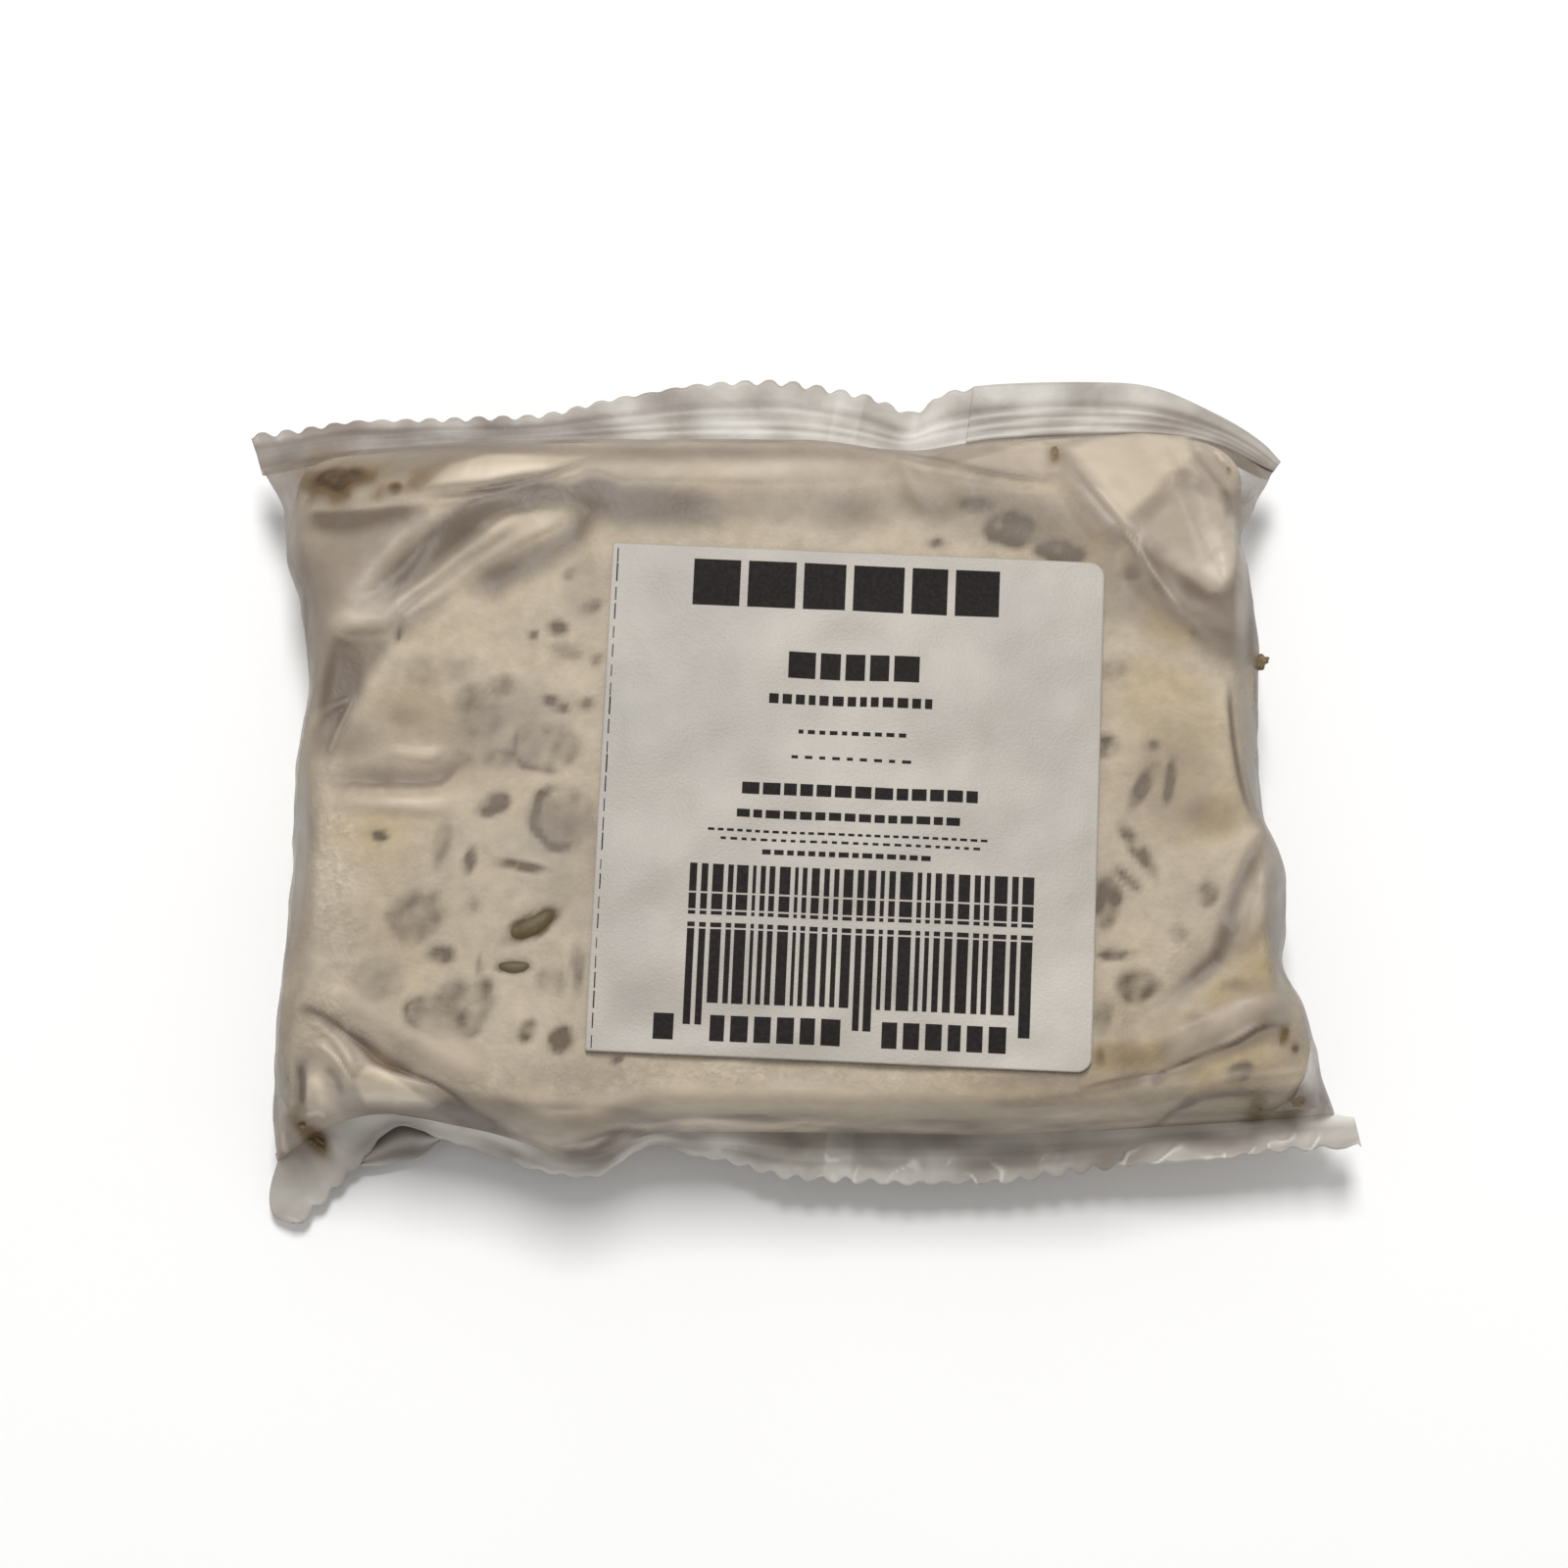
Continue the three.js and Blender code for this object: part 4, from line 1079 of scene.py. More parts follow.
class LabelSettings(bpy.types.PropertyGroup):
    """Sizes and looks of the paper label and its print."""

    width: length_setting("Width", "Width of the label", 50)
    height: length_setting("Height", "Height of the label", 52)
    corner: length_setting("Corner", "Radius of the label's corners", 1.5)
    thick: length_setting("Thickness", "Thickness of the paper", 0.12)
    lift: length_setting("Lift", "Height of the label over the film", 0.22)
    turn: bpy.props.FloatProperty(
        name="Turn", description="Turn of the label on the pack", default=math.radians(-2.5), subtype="ANGLE"
    )
    paper: colour_setting("Paper", "Label paper", (0.415, 0.381, 0.336))
    ink: colour_setting("Ink", "Printing ink", (0.014, 0.011, 0.010))


class StageSettings(bpy.types.PropertyGroup):
    """Camera, light and floor."""

    elevation: bpy.props.FloatProperty(
        name="Elevation",
        description="Height of the camera's line of sight",
        default=math.radians(78),
        subtype="ANGLE",
    )
    distance: length_setting("Distance", "Distance from the camera to the pack", 380)
    lens: bpy.props.FloatProperty(
        name="Lens", description="Focal length for a 36 mm wide picture", default=84.6, min=1
    )
    key: bpy.props.FloatProperty(name="Key light", description="Power in watts", default=4.8, min=0)
    fill: bpy.props.FloatProperty(name="Sky", description="Strength of the even light", default=0.45, min=0)
    floor: colour_setting("Floor", "Floor", (0.97, 0.97, 0.968))


# ---------------------------------------------------------------- film


def film_finish(name, plain, dark, bright):
    """Milky satin film: its cover, its painted light and shade, and its stains come with the mesh, and fine
    wrinkles break its gloss.
    """
    look = bpy.context.scene.tempeh_film
    film = Finish(name, Roughness=0.44, Specular_IOR_Level=0.35)
    tone = film.value("tone")
    cloud = film.noise(7, 2)
    patch = film.span(film.noise(8, 3, distortion=0.8), 0.35, 0.68, 0.8, 1.25)
    colour = film.mix(film.span(cloud, 0.35, 0.7, 0, 0.3), plain, bright)
    # painted shade towards the dark colour and painted light towards the bright one, by the mesh's tone
    colour = film.mix(film.span(tone, 0, -1), colour, dark)
    colour = film.mix(film.span(tone, 0, 1), colour, bright)
    # painted light, as through film with light behind it
    colour = film.mix(film.value("painted_backlight"), colour, look.painted_backlight)
    stain = film.value("stain")
    mottle = film.span(film.noise(1.5, 3), 0.3, 0.65, 0.7, 1)
    wet = film.math("MULTIPLY", stain, mottle, clamp=True)
    colour = film.mix(film.span(wet, 0, 0.5), colour, look.stain)
    film.feed("Base Color", film.mix(film.span(wet, 0.45, 1), colour, look.stain_core))
    cover = film.math("MULTIPLY", film.value("haze"), patch)
    film.feed("Alpha", film.math("MAXIMUM", cover, film.span(wet, 0, 0.6, 0, 0.9), clamp=True))
    wrinkle = film.math("ADD", film.noise(0.8, 3, distortion=0.6), film.noise(3.2, 2))
    film.bump(wrinkle, 0.1, 0.35)
    return film.material


FILM_STEPS = (330, 210)  # of the film's grid, across and onward
FLOOR_RINGS = (0.993, 0.98, 0.965, 0.95, 0.93, 0.9, 0.8, 0.6, 0.35, 0.1)  # the bottom sheet's, as shares
# crumple of loose film: height, size and seed of its fine waves and of its broad ridges
FINE_CRUMPLE = (0.16, 2.4, 3)
BROAD_CRUMPLE = (0.34, 6, 4)


SIDE_LOOSE = 0.7  # how loose film is where it hasn't risen onto the cake
RIDGE_LOOSE = 1.4  # height of a ridge that is wholly loose
GROOVE_LOOSE = 3  # depth of a groove that is
CALM_END = 0.05  # share of half the pillow's length, next to a seal, in which the crumple comes up
FIN_SLOPE = 1.5  # width beside the lengthwise seam in which film comes down to the floor
FIN_ROOM = 1.1  # how high film lies over that seam, in thicknesses of the seam
STAIN_SOFT = 0.9  # how softly a stain ends
STAIN_RAG = 0.18  # how ragged its edge is


def film_grid():
    """The film's grid, from -1 to 1 both ways."""
    return np.meshgrid(*(crowded(steps) for steps in FILM_STEPS))


def crumple(x, y):
    """Fine waves, and ridges where broader waves cross zero."""
    (fine, *fine_look), (broad, *broad_look) = FINE_CRUMPLE, BROAD_CRUMPLE
    return fine * waves(x, y, *fine_look) + broad * (1 - np.abs(waves(x, y, *broad_look))) ** 2


def top_sheet(u, v):
    """The rim patch raised over the cake by two rolls, with the ridges, the grooves and a slight crumple."""
    sheet = rim_patch(u, v)
    x, y = sheet[..., 0], sheet[..., 1]
    risen = rise(u, v)
    up, down = ridges_and_grooves(x, y)
    sheet[..., 2] += (crown(x, y) + sag(x, y) + up + down - sheet[..., 2]) * risen
    loose = np.clip(SIDE_LOOSE * (1 - risen) + up / RIDGE_LOOSE - down / GROOVE_LOOSE, 0, 1)
    calm = smooth(1 - np.abs(v), 0, CALM_END)
    sheet += normals(sheet) * (crumple(x, y) * loose * free_of_label(x, y) * calm)[..., None]
    return sheet, loose, up, down


def bottom_sheet(u, v):
    """The rim patch settled on the floor, with room for the lengthwise seam."""
    sheet = rim_patch(u, v)
    half = FIN["width"] / 2
    seam = 1 - smooth(np.abs(sheet[..., 0] - FIN["centre"]), half, half + FIN_SLOPE)
    sheet[..., 2] += (FIN_ROOM * FIN["thick"] * seam - sheet[..., 2]) * settle(u, v)
    return sheet


def stains(x, y):
    """How much brown juice wets the film: soft ellipses with ragged edges."""
    ragged = STAIN_RAG * waves(x, y, size=1.6, seed=9)
    return np.clip(fields(FILM_STAINS, x, y, STAIN_SOFT, ragged), 0, 1)


GROOVE_PAINTED_SHADE = 0.16  # painted shade: how much darker film is for each millimetre that a groove sinks
RIDGE_PAINTED_LIGHT = 0.1  # painted light: how much brighter it is for each millimetre that a ridge stands
UNDER_LOOSE = 0.35  # how loose the bottom sheet is
TONE_HAZE = 0.95  # how far painted light and shade hide what lies under the film
CLOSE_HAZE = 0.18  # how much clearer the film is where it sticks to a bean
CLOUD_SOFT = 0.6  # how softly the film's clouds end
HAZY_AT = 0.85  # looseness at which film is as hazy as loose film gets
TONE_HAZE_TOP = 0.9  # haze above which painted light and shade add none


def film_body():
    """The pillow of film, with its haze, its painted light and shade, and its stains."""
    look = bpy.context.scene.tempeh_film
    u, v = film_grid()
    sheet, loose, up, down = top_sheet(u, v)
    rim_u, rim_v = (part.ravel()[border(np.arange(part.size).reshape(part.shape))] for part in (u, v))
    rings = [bottom_sheet(rim_u * share, rim_v * share) for share in FLOOR_RINGS]
    body = pouch(sheet, rings, rings[-1].mean(0))

    x, y = body.points.T[:2]
    under = np.arange(len(x)) >= u.size
    loose = np.concatenate([loose.ravel(), np.full(under.sum(), UNDER_LOOSE)])
    ridge = np.concatenate([(up + down).ravel(), np.zeros(under.sum())])
    free = free_of_label(x, y)
    # painted shade in grooves, creases, dark facets and on the walls, painted light on ridges and bright
    # facets
    tone = np.where(ridge < 0, GROOVE_PAINTED_SHADE * ridge, RIDGE_PAINTED_LIGHT * ridge)
    tone += sum(c.tone * crease_shape(c, x, y) for c in CREASES)
    tone += sum(f.tone * facet_share(f, x, y) for f in PAINTED_FACETS)
    tone += fields(PAINTED_LIGHT_FIELDS, x, y, CLOUD_SOFT)
    tone += sum(WALL_PAINTED_SHADE[side] * wall_share(side, x, y) for side in TURNS)
    tone = np.clip(tone, -1, 1)
    haze = look.contact_haze + (look.loose_haze - look.contact_haze) * smooth(loose, 0, HAZY_AT)
    haze += fields(MILKY_FIELDS, x, y, CLOUD_SOFT) * free
    haze += TONE_HAZE * np.abs(tone) * np.clip(TONE_HAZE_TOP - haze, 0, 1)
    dark, olive = bean_shares(BEANS, x, y)
    haze -= CLOSE_HAZE * np.maximum(olive, 0.5 * dark)
    painted_backlight = np.clip(fields(PAINTED_BACKLIGHT_FIELDS, x, y, CLOUD_SOFT), 0, 1)
    haze = haze + (look.pale_haze - haze) * painted_backlight
    tops = {"tone": tone * (1 - painted_backlight), "stain": stains(x, y), "painted_backlight": painted_backlight}
    values = {name: np.where(under, 0, row) for name, row in tops.items()}
    return body, {"haze": haze, **values}


class TEMPEH_OT_film(bpy.types.Operator):
    """Film of the bag"""

    bl_idname = "tempeh.film"
    bl_label = "Film"

    def execute(self, context):
        look = context.scene.tempeh_film
        body, values = film_body()
        finish = film_finish("milky_film", look.colour, look.dark, look.bright)
        piece("film", body, finish, "film", ["bag"], **values)
        return {"FINISHED"}


# ---------------------------------------------------------------- seals

SEAL_RIBS = 6
SEAL_STEPS = (1100, 30)  # of a seal's grid, along and across
FOLD_STEPS = (260, 16)  # of the folded-back end's
# along each seal: the share of its length, its tone there, which is partly painted light and shade, how much
# its ribs show, and the painted light and shade that its root and its rim add
SEAL_LOOK = {
    "front": [
        (0, 0.15, 0, 0, 0.1),
        (0.12, 0.35, 0, 0.1, 0.1),
        (0.2, 0.2, 0, 0.3, 0.2),
        (0.33, 0.2, 0, -0.3, 0.2),
        (0.42, 0.4, 0.15, -0.5, 0.2),
        (0.58, 0.4, 0.2, -0.8, 0.2),
        (0.68, 0.2, 0.15, -0.3, 0.2),
        (0.8, 0.15, 0.1, 0.4, 0),
        (0.92, 0.1, 0.05, 1, 0),
        (1, 0.3, 0.05, 0.8, 0),
    ],
    "rear": [
        (0, -0.5, 0.15, 0, 0.55),
        (0.26, -0.5, 0.2, 0, 0.5),
        (0.36, 0.2, 0.6, 0, 0),
        (0.5, 0.28, 0.8, 0, -0.1),
        (0.62, 0.35, 0.5, 0, 0),
        (0.7, 0.35, 0.8, 0, 0.1),
        (0.85, 0.25, 0.6, 0, 0.1),
        (1, 0, 0.2, -0.2, 0.3),
    ],
}
RIBBED = 0.62  # the share of a seal's width that has ribs, with a dark line where they end
SEAL_ROOT = 0.9  # how far a seal reaches into the pillow
SEAM_LAP = ((3, 3.5), (5.8, 6.3))  # the lengthwise seam's lap crosses both seals between these places
SEAL_EAR = 2.4  # how far the front seal's left end bows out
SEAL_TAB = 1.9  # how far the front seal's right end stands past the pillow
# the rear seal's smooth end, turned over on itself
FOLDED_BACK = {"start": TOOTHED["rear"], "inner": 0.1, "lift": 0.3}
EAR_REACH = 3  # distance along the seal in which the ear dies away
TAB_REACH = 2  # and the tab
TOOTH_START = 0.6  # the share of a seal's width at which its scallops begin
TOOTH_POWER = 1.5  # of the raised cosine, to point the scallops
TOOTH_DEPTHS = (0.65, 0.35)  # the even and the varying share of a scallop's depth
RIB_SWAY = 0.9  # how far the ribs wander, in radians of their cosine
RIB_LIGHT_AND_SHADE = (3, 1.8)  # painted light for each millimetre that a rib stands, and painted shade for each that a groove sinks
RIB_END = {"tone": 0.25, "half": 0.06}  # the dark line where the ribs end, in shares of the width
BUCKLE = 0.25  # height of a seal's slow waves
CLOUD_TONE = 0.2  # of a seal's clouds
LAP_TONE = 0.2  # of the lengthwise seam's lap
CRINKLE_BANDS = 4  # how much narrower the wrinkles are than the waves they are cut from
CRINKLE_ALONG = (44, 56)  # wrinkles come in between these distances along the front seal
CRINKLE_ACROSS = (1.6, 3)  # and across it
CRINKLE_HEIGHT = 0.25
# painted highlight on the wrinkles
CRINKLE_HIGHLIGHT = 0.9


def crinkles(side, reach, width):
    """Sharp wrinkles of the front seal's edge with painted highlights, past two fifths of it: thin bands of
    folded waves.
    """
    if side == "rear":
        return np.zeros(reach.shape)
    fine = 1 - np.abs(waves(reach, width, size=2.2, seed=25)) * CRINKLE_BANDS
    patch = smooth(waves(reach, width * 2, size=5, seed=26), 0, 0.5)
    patch = patch * smooth(reach, *CRINKLE_ALONG) * smooth(width, *CRINKLE_ACROSS)
    return np.clip(fine, 0, 1) * patch


def seal_strip(side, start, end, inner, outer, lift, steps):
    """A crimped strip from a rim curve to its edge: ribs are a cosine across it, scallops a raised one."""
    look = bpy.context.scene.tempeh_film
    t, w = np.meshgrid(np.linspace(start, end, steps[0] + 1), np.linspace(inner, outer, steps[1] + 1))
    base, edge = along(RIM_ROWS[side], t), along(EDGE_ROWS[side], t)
    across = edge - base
    width = np.linalg.norm(across, axis=-1)
    ahead = np.gradient(base, axis=1)
    up = np.cross(ahead, across) * (1 if side == "rear" else -1)
    up = up / np.linalg.norm(up, axis=-1, keepdims=True)
    length = np.linalg.norm(np.diff(EDGE_ROWS[side], axis=0), axis=1).sum()
    teeth = round(length / (look.tooth_pitch / MM))
    notch = (0.5 + 0.5 * np.cos(2 * np.pi * t * teeth)) ** TOOTH_POWER
    depth = TOOTH_DEPTHS[0] + TOOTH_DEPTHS[1] * waves(t * length, 0, size=9, seed=24)
    notch = notch * (t < TOOTHED[side]) * smooth(w, TOOTH_START, 1) * depth
    reach = np.where(w < 0, w * SEAL_ROOT / width, w - notch * look.tooth_depth / MM / width)
    flat = smooth(w, 0, 0.1) * (1 - smooth(w, RIBBED - 0.1, RIBBED + 0.04))
    place_along = t * length
    lap = smooth(base[..., 0], *SEAM_LAP[0]) * (1 - smooth(base[..., 0], *SEAM_LAP[1]))
    look_share, *look_rows = np.array(SEAL_LOOK[side]).T
    plain, shown, root_light_and_shade, rim_light_and_shade = (np.interp(t, look_share, row) for row in look_rows)
    sway = RIB_SWAY * waves(place_along, w, size=11, seed=21)
    rib = look.rib_height / MM / 2 * np.cos(2 * np.pi * SEAL_RIBS * w + sway) * flat
    rib = rib * shown
    buckle = BUCKLE * waves(place_along, w * 6, size=5, seed=22) * smooth(w, 0.1, 0.5)
    crinkle = crinkles(side, place_along, w * width) * smooth(w, 0.1, 0.3)
    ear = SEAL_EAR * np.exp(-place_along / EAR_REACH) * np.sin(np.pi * np.clip(w, 0, 1)) * (side == "front")
    ahead = ahead / np.linalg.norm(ahead, axis=-1, keepdims=True)
    height = rib + buckle + lift + CRINKLE_HEIGHT * crinkle
    middle = base + across * reach[..., None] + up * height[..., None]
    tab = SEAL_TAB * np.exp(-(length - place_along) / TAB_REACH) * smooth(w, 0, 0.15) * (side == "front")
    middle += ahead * (tab - ear)[..., None]
    half = look.seal_thick / MM / 2
    body = block(middle + up * half, middle - up * half)
    cloud = CLOUD_TONE * waves(place_along, w * 8, size=4, seed=23)
    # painted light on standing ribs and painted shade in their grooves
    tone = np.where(rib > 0, *RIB_LIGHT_AND_SHADE) * rib + cloud + LAP_TONE * lap + plain
    tone -= RIB_END["tone"] * np.exp(-(((w - RIBBED) / RIB_END["half"]) ** 2)) * smooth(shown, 0, 0.4)
    rim_share = smooth(w, RIBBED, RIBBED + 0.2)
    # painted light and shade along the root and the rim, and painted highlights on the crinkles
    tone += root_light_and_shade * (1 - smooth(w, 0.1, 0.45)) + rim_light_and_shade * rim_share + CRINKLE_HIGHLIGHT * crinkle
    return body, np.concatenate([tone.ravel(), tone.ravel()])


CURL = {  # the torn tongue under the front seal: its root and its outer edge
    "root": [(-45.2, -37.4, 2.9), (-43.2, -34.9, 3.1), (-40.4, -33.3, 3.2), (-36.9, -34.6, 3.3)],
    "edge": [
        (-45.3, -37.8, 2.7),
        (-43.2, -37.8, 2.2),
        (-41, -37.4, 2.1),
        (-38.6, -36.8, 2.3),
        (-36.8, -35.4, 3),
    ],
}
CURL_STEPS = (60, 16)  # of its grid, along and across
CURL_RIPPLE = 0.14  # height of its ripples
CURL_TONES = (0.25, 0.3, 0.9)  # plain, painted light and shade of the ripples, and painted shade towards its root


def curl():
    """The tongue as a sheet from its root to its outer edge, rippled by a cosine across it."""
    look = bpy.context.scene.tempeh_film
    s, w = np.meshgrid(*(np.linspace(0, 1, steps) for steps in CURL_STEPS))
    root, edge = (along(spline(CURL[row]), s) for row in ("root", "edge"))
    ripple = np.cos(3 * np.pi * w + 1.5 * s)
    middle = edge + (root - edge) * w[..., None] + np.dstack([0 * w, 0 * w, CURL_RIPPLE * ripple])
    up = normals(middle) * look.seal_thick / MM / 3
    plain, rippled, root_shade = CURL_TONES
    # painted light and shade on the ripples, and painted shade towards the root
    tone = plain + rippled * ripple - root_shade * smooth(w, 0.35, 0.9)
    return block(middle + up, middle - up), np.tile(tone.ravel(), 2)


def seal_values(tone, stain):
    """The rows of values of crimped film: an even haze, and no painted light from behind."""
    haze = np.full(len(tone), bpy.context.scene.tempeh_film.seal_haze)
    return {"haze": haze, "tone": tone, "stain": stain, "painted_backlight": np.zeros(len(tone))}


class TEMPEH_OT_seals(bpy.types.Operator):
    """Crimped end seals of the bag"""

    bl_idname = "tempeh.seals"
    bl_label = "End seals"

    def execute(self, context):
        look = context.scene.tempeh_film
        finish = film_finish("seal_film", look.seal, look.seal_painted_shade, look.seal_painted_light)
        start, inner, lift = FOLDED_BACK.values()
        strips = {
            "rear": [
                seal_strip("rear", 0, 1, -1, 1, 0, SEAL_STEPS),
                seal_strip("rear", start, 1, inner, 1, lift, FOLD_STEPS),
            ],
            "front": [seal_strip("front", 0, 1, -1, 1, 0, SEAL_STEPS), curl()],
        }
        for side, parts in strips.items():
            body = joined([strip for strip, _ in parts])
            tone = np.concatenate([tone for _, tone in parts])
            values = seal_values(tone, stains(*body.points.T[:2]))
            piece("seal_" + side, body, finish, "film", **values)
        return {"FINISHED"}


FIN_STEPS = (60, 220)  # of the lengthwise seam's grid, across and onward
FIN_END = 0.995  # where it ends, as a share of half the pillow's length
FIN_PLAIN = (0.3, 1)  # its crimp comes in between these distances from its edges
FIN_FACES = (0.03, 0.9)  # its inner face's depth under the film, and its outer one's in thicknesses
FIN_CRIMP_SHADING = 12  # painted light and shade for each millimetre of its crimp


class TEMPEH_OT_fin(bpy.types.Operator):
    """Lengthwise seam under the bag"""

    bl_idname = "tempeh.fin"
    bl_label = "Lengthwise seam"

    def execute(self, context):
        look = context.scene.tempeh_film
        half = FIN["width"] / 2
        across = np.linspace(FIN["centre"] - half, FIN["centre"] + half, FIN_STEPS[0])
        u, v = np.meshgrid(across / RIM_HALF[0], crowded(FIN_STEPS[1]))
        sheet = bottom_sheet(u, v * FIN_END)
        outward = -normals(sheet)
        inside = smooth(half - np.abs(sheet[..., 0] - FIN["centre"]), *FIN_PLAIN)
        crimp = FIN["crimp"] * np.cos(2 * np.pi * sheet[..., 0] / FIN["pitch"]) * inside
        under = sheet + outward * (FIN_FACES[1] * FIN["thick"] + crimp)[..., None]
        body = block(sheet + outward * FIN_FACES[0], under)
        finish = film_finish("seam_film", look.seal, look.seal_painted_shade, look.seal_painted_light)
        tone = np.tile((crimp * FIN_CRIMP_SHADING).ravel(), 2)
        piece("seam_fin", body, finish, "film", **seal_values(tone, np.zeros(len(tone))))
        return {"FINISHED"}


# ---------------------------------------------------------------- tempeh cake


def cake_sheets(a, b):
    """The cake's plain upper and lower sheets over a grid from -1 to 1: the film's own, less the gap."""
    half = RIM_HALF - np.array([CAKE_INSET["side"], (CAKE_INSET["front"] + CAKE_INSET["rear"]) / 2])
    shift = (CAKE_INSET["front"] - CAKE_INSET["rear"]) / 2
    x, y = round_corners(a * half[0], b * half[1], half, CAKE_CORNER)
    u, v = x / RIM_HALF[0], (y + shift) / RIM_HALF[1]
    rim = rim_patch(u, v)
    x, y, z = rim[..., 0], rim[..., 1], rim[..., 2]
    top = crown(x, y) + sag(x, y) + ridges_and_grooves(x, y)[1]
    upper = np.dstack([x, y, z + (top - z) * rise(u, v) - CAKE_GAP])
    floor = CAKE_GAP + FIN["thick"]
    lower = np.dstack([x, y, z + (floor - z) * settle(u, v) + CAKE_GAP])
    return upper, lower


OPEN_OLIVE = 0.9  # how olive a bean in the open is


def scattered(scatter, across, onward):
    """Beans of random sizes, places and turns over a field that wide and long, from a fixed seed."""
    rng = np.random.default_rng(scatter.seed)
    beans = []
    for _ in range(scatter.count):
        x, y = rng.uniform(*across), rng.uniform(*onward)
        long = rng.uniform(*scatter.long)
        wide = min(long, rng.uniform(*scatter.wide))
        olive = OPEN_OLIVE if rng.random() < OLIVE_SHARE else 0
        beans.append(Bean(x, y, long, wide, rng.uniform(-90, 90), rng.uniform(*scatter.dark), olive))
    return beans


RIM_BLUR = 0.42  # half the width of the dark line, painted shade, on one side of a bean
RIM_RADIUS = 0.9  # where that line runs, as a share of the bean's radius
RIM_SHADE_LEAN = 0.3  # the painted shade fades towards the other side over this share of the bean's length
RIM_HOLLOW = 0.8  # how far a bean with such a line is empty
RIM_DARK = 1.5
BEAN_DARK = 1.7
BEAN_WOBBLE = 0.09  # how far a bean's outline wanders, as a share of its radius
BEAN_CLOUD = (0.85, 0.3)  # the even and the cloudy share of its darkness
BLUR = {"width": 0.75, "least": 0.1, "most": 0.6}  # of its outline: in mm, and as shares of its radius


def bean_shares(beans, x, y):
    """How dark and how olive the mould is over beans: soft ellipses with a wobbling edge, or their rims with
    painted shade on one side.
    """
    dark, olive = np.zeros(x.shape), np.zeros(x.shape)
    wobble = BEAN_WOBBLE * waves(x, y, size=1.8, seed=31)
    cloud = BEAN_CLOUD[0] + BEAN_CLOUD[1] * waves(x, y, size=1.3, seed=32)
    for bean in beans:
        p, q = turned(x - bean.x, y - bean.y, bean.turn)
        radius = np.hypot(2 * p / bean.long, 2 * q / bean.wide) + wobble
        softness = min(BLUR["most"], BLUR["width"] / bean.wide + BLUR["least"])
        filled = 1 - smooth(radius, 1 - softness, 1 + softness)
        # the rim is darker on one side: painted shade
        shade_side = 0.5 + 0.5 * np.clip((-p - q) / (RIM_SHADE_LEAN * bean.long), -1, 1)
        rim = np.exp(-(((radius - RIM_RADIUS) * (bean.long + bean.wide) / 4 / RIM_BLUR) ** 2)) * shade_side
        inner, line = filled * (1 - RIM_HOLLOW * bean.rim), RIM_DARK * bean.rim * rim
        share = BEAN_DARK * bean.dark * cloud * np.maximum(inner, line)
        dark = np.maximum(dark, share)
        olive = np.maximum(olive, bean.olive * filled)
    return np.minimum(dark, 1), olive


CAKE_STEPS = (240, 160)  # of the cake's grid, across and onward
CAKE_CROWDING = 0.45
WALL_RINGS = 20
UNDER_HALF = (48, 32)  # the field in which beans are scattered under the cake
WALL_SPAN = (1, 20)  # and up its wall
WALL_BULGE = 0.3  # how far the wall bulges, and how far that varies
CAKE_SWELL = 0.16  # height of the upper face's slow hills, all under the film
FUZZ_EDGE = (0.7, 0.3)  # how softly patches of loose mould end, and how raggedly
YELLOW_EDGE = (0.8, 0.2)  # and yellowed patches
GRAIN = {"size": 0.55, "height": 0.25}  # of loose mould


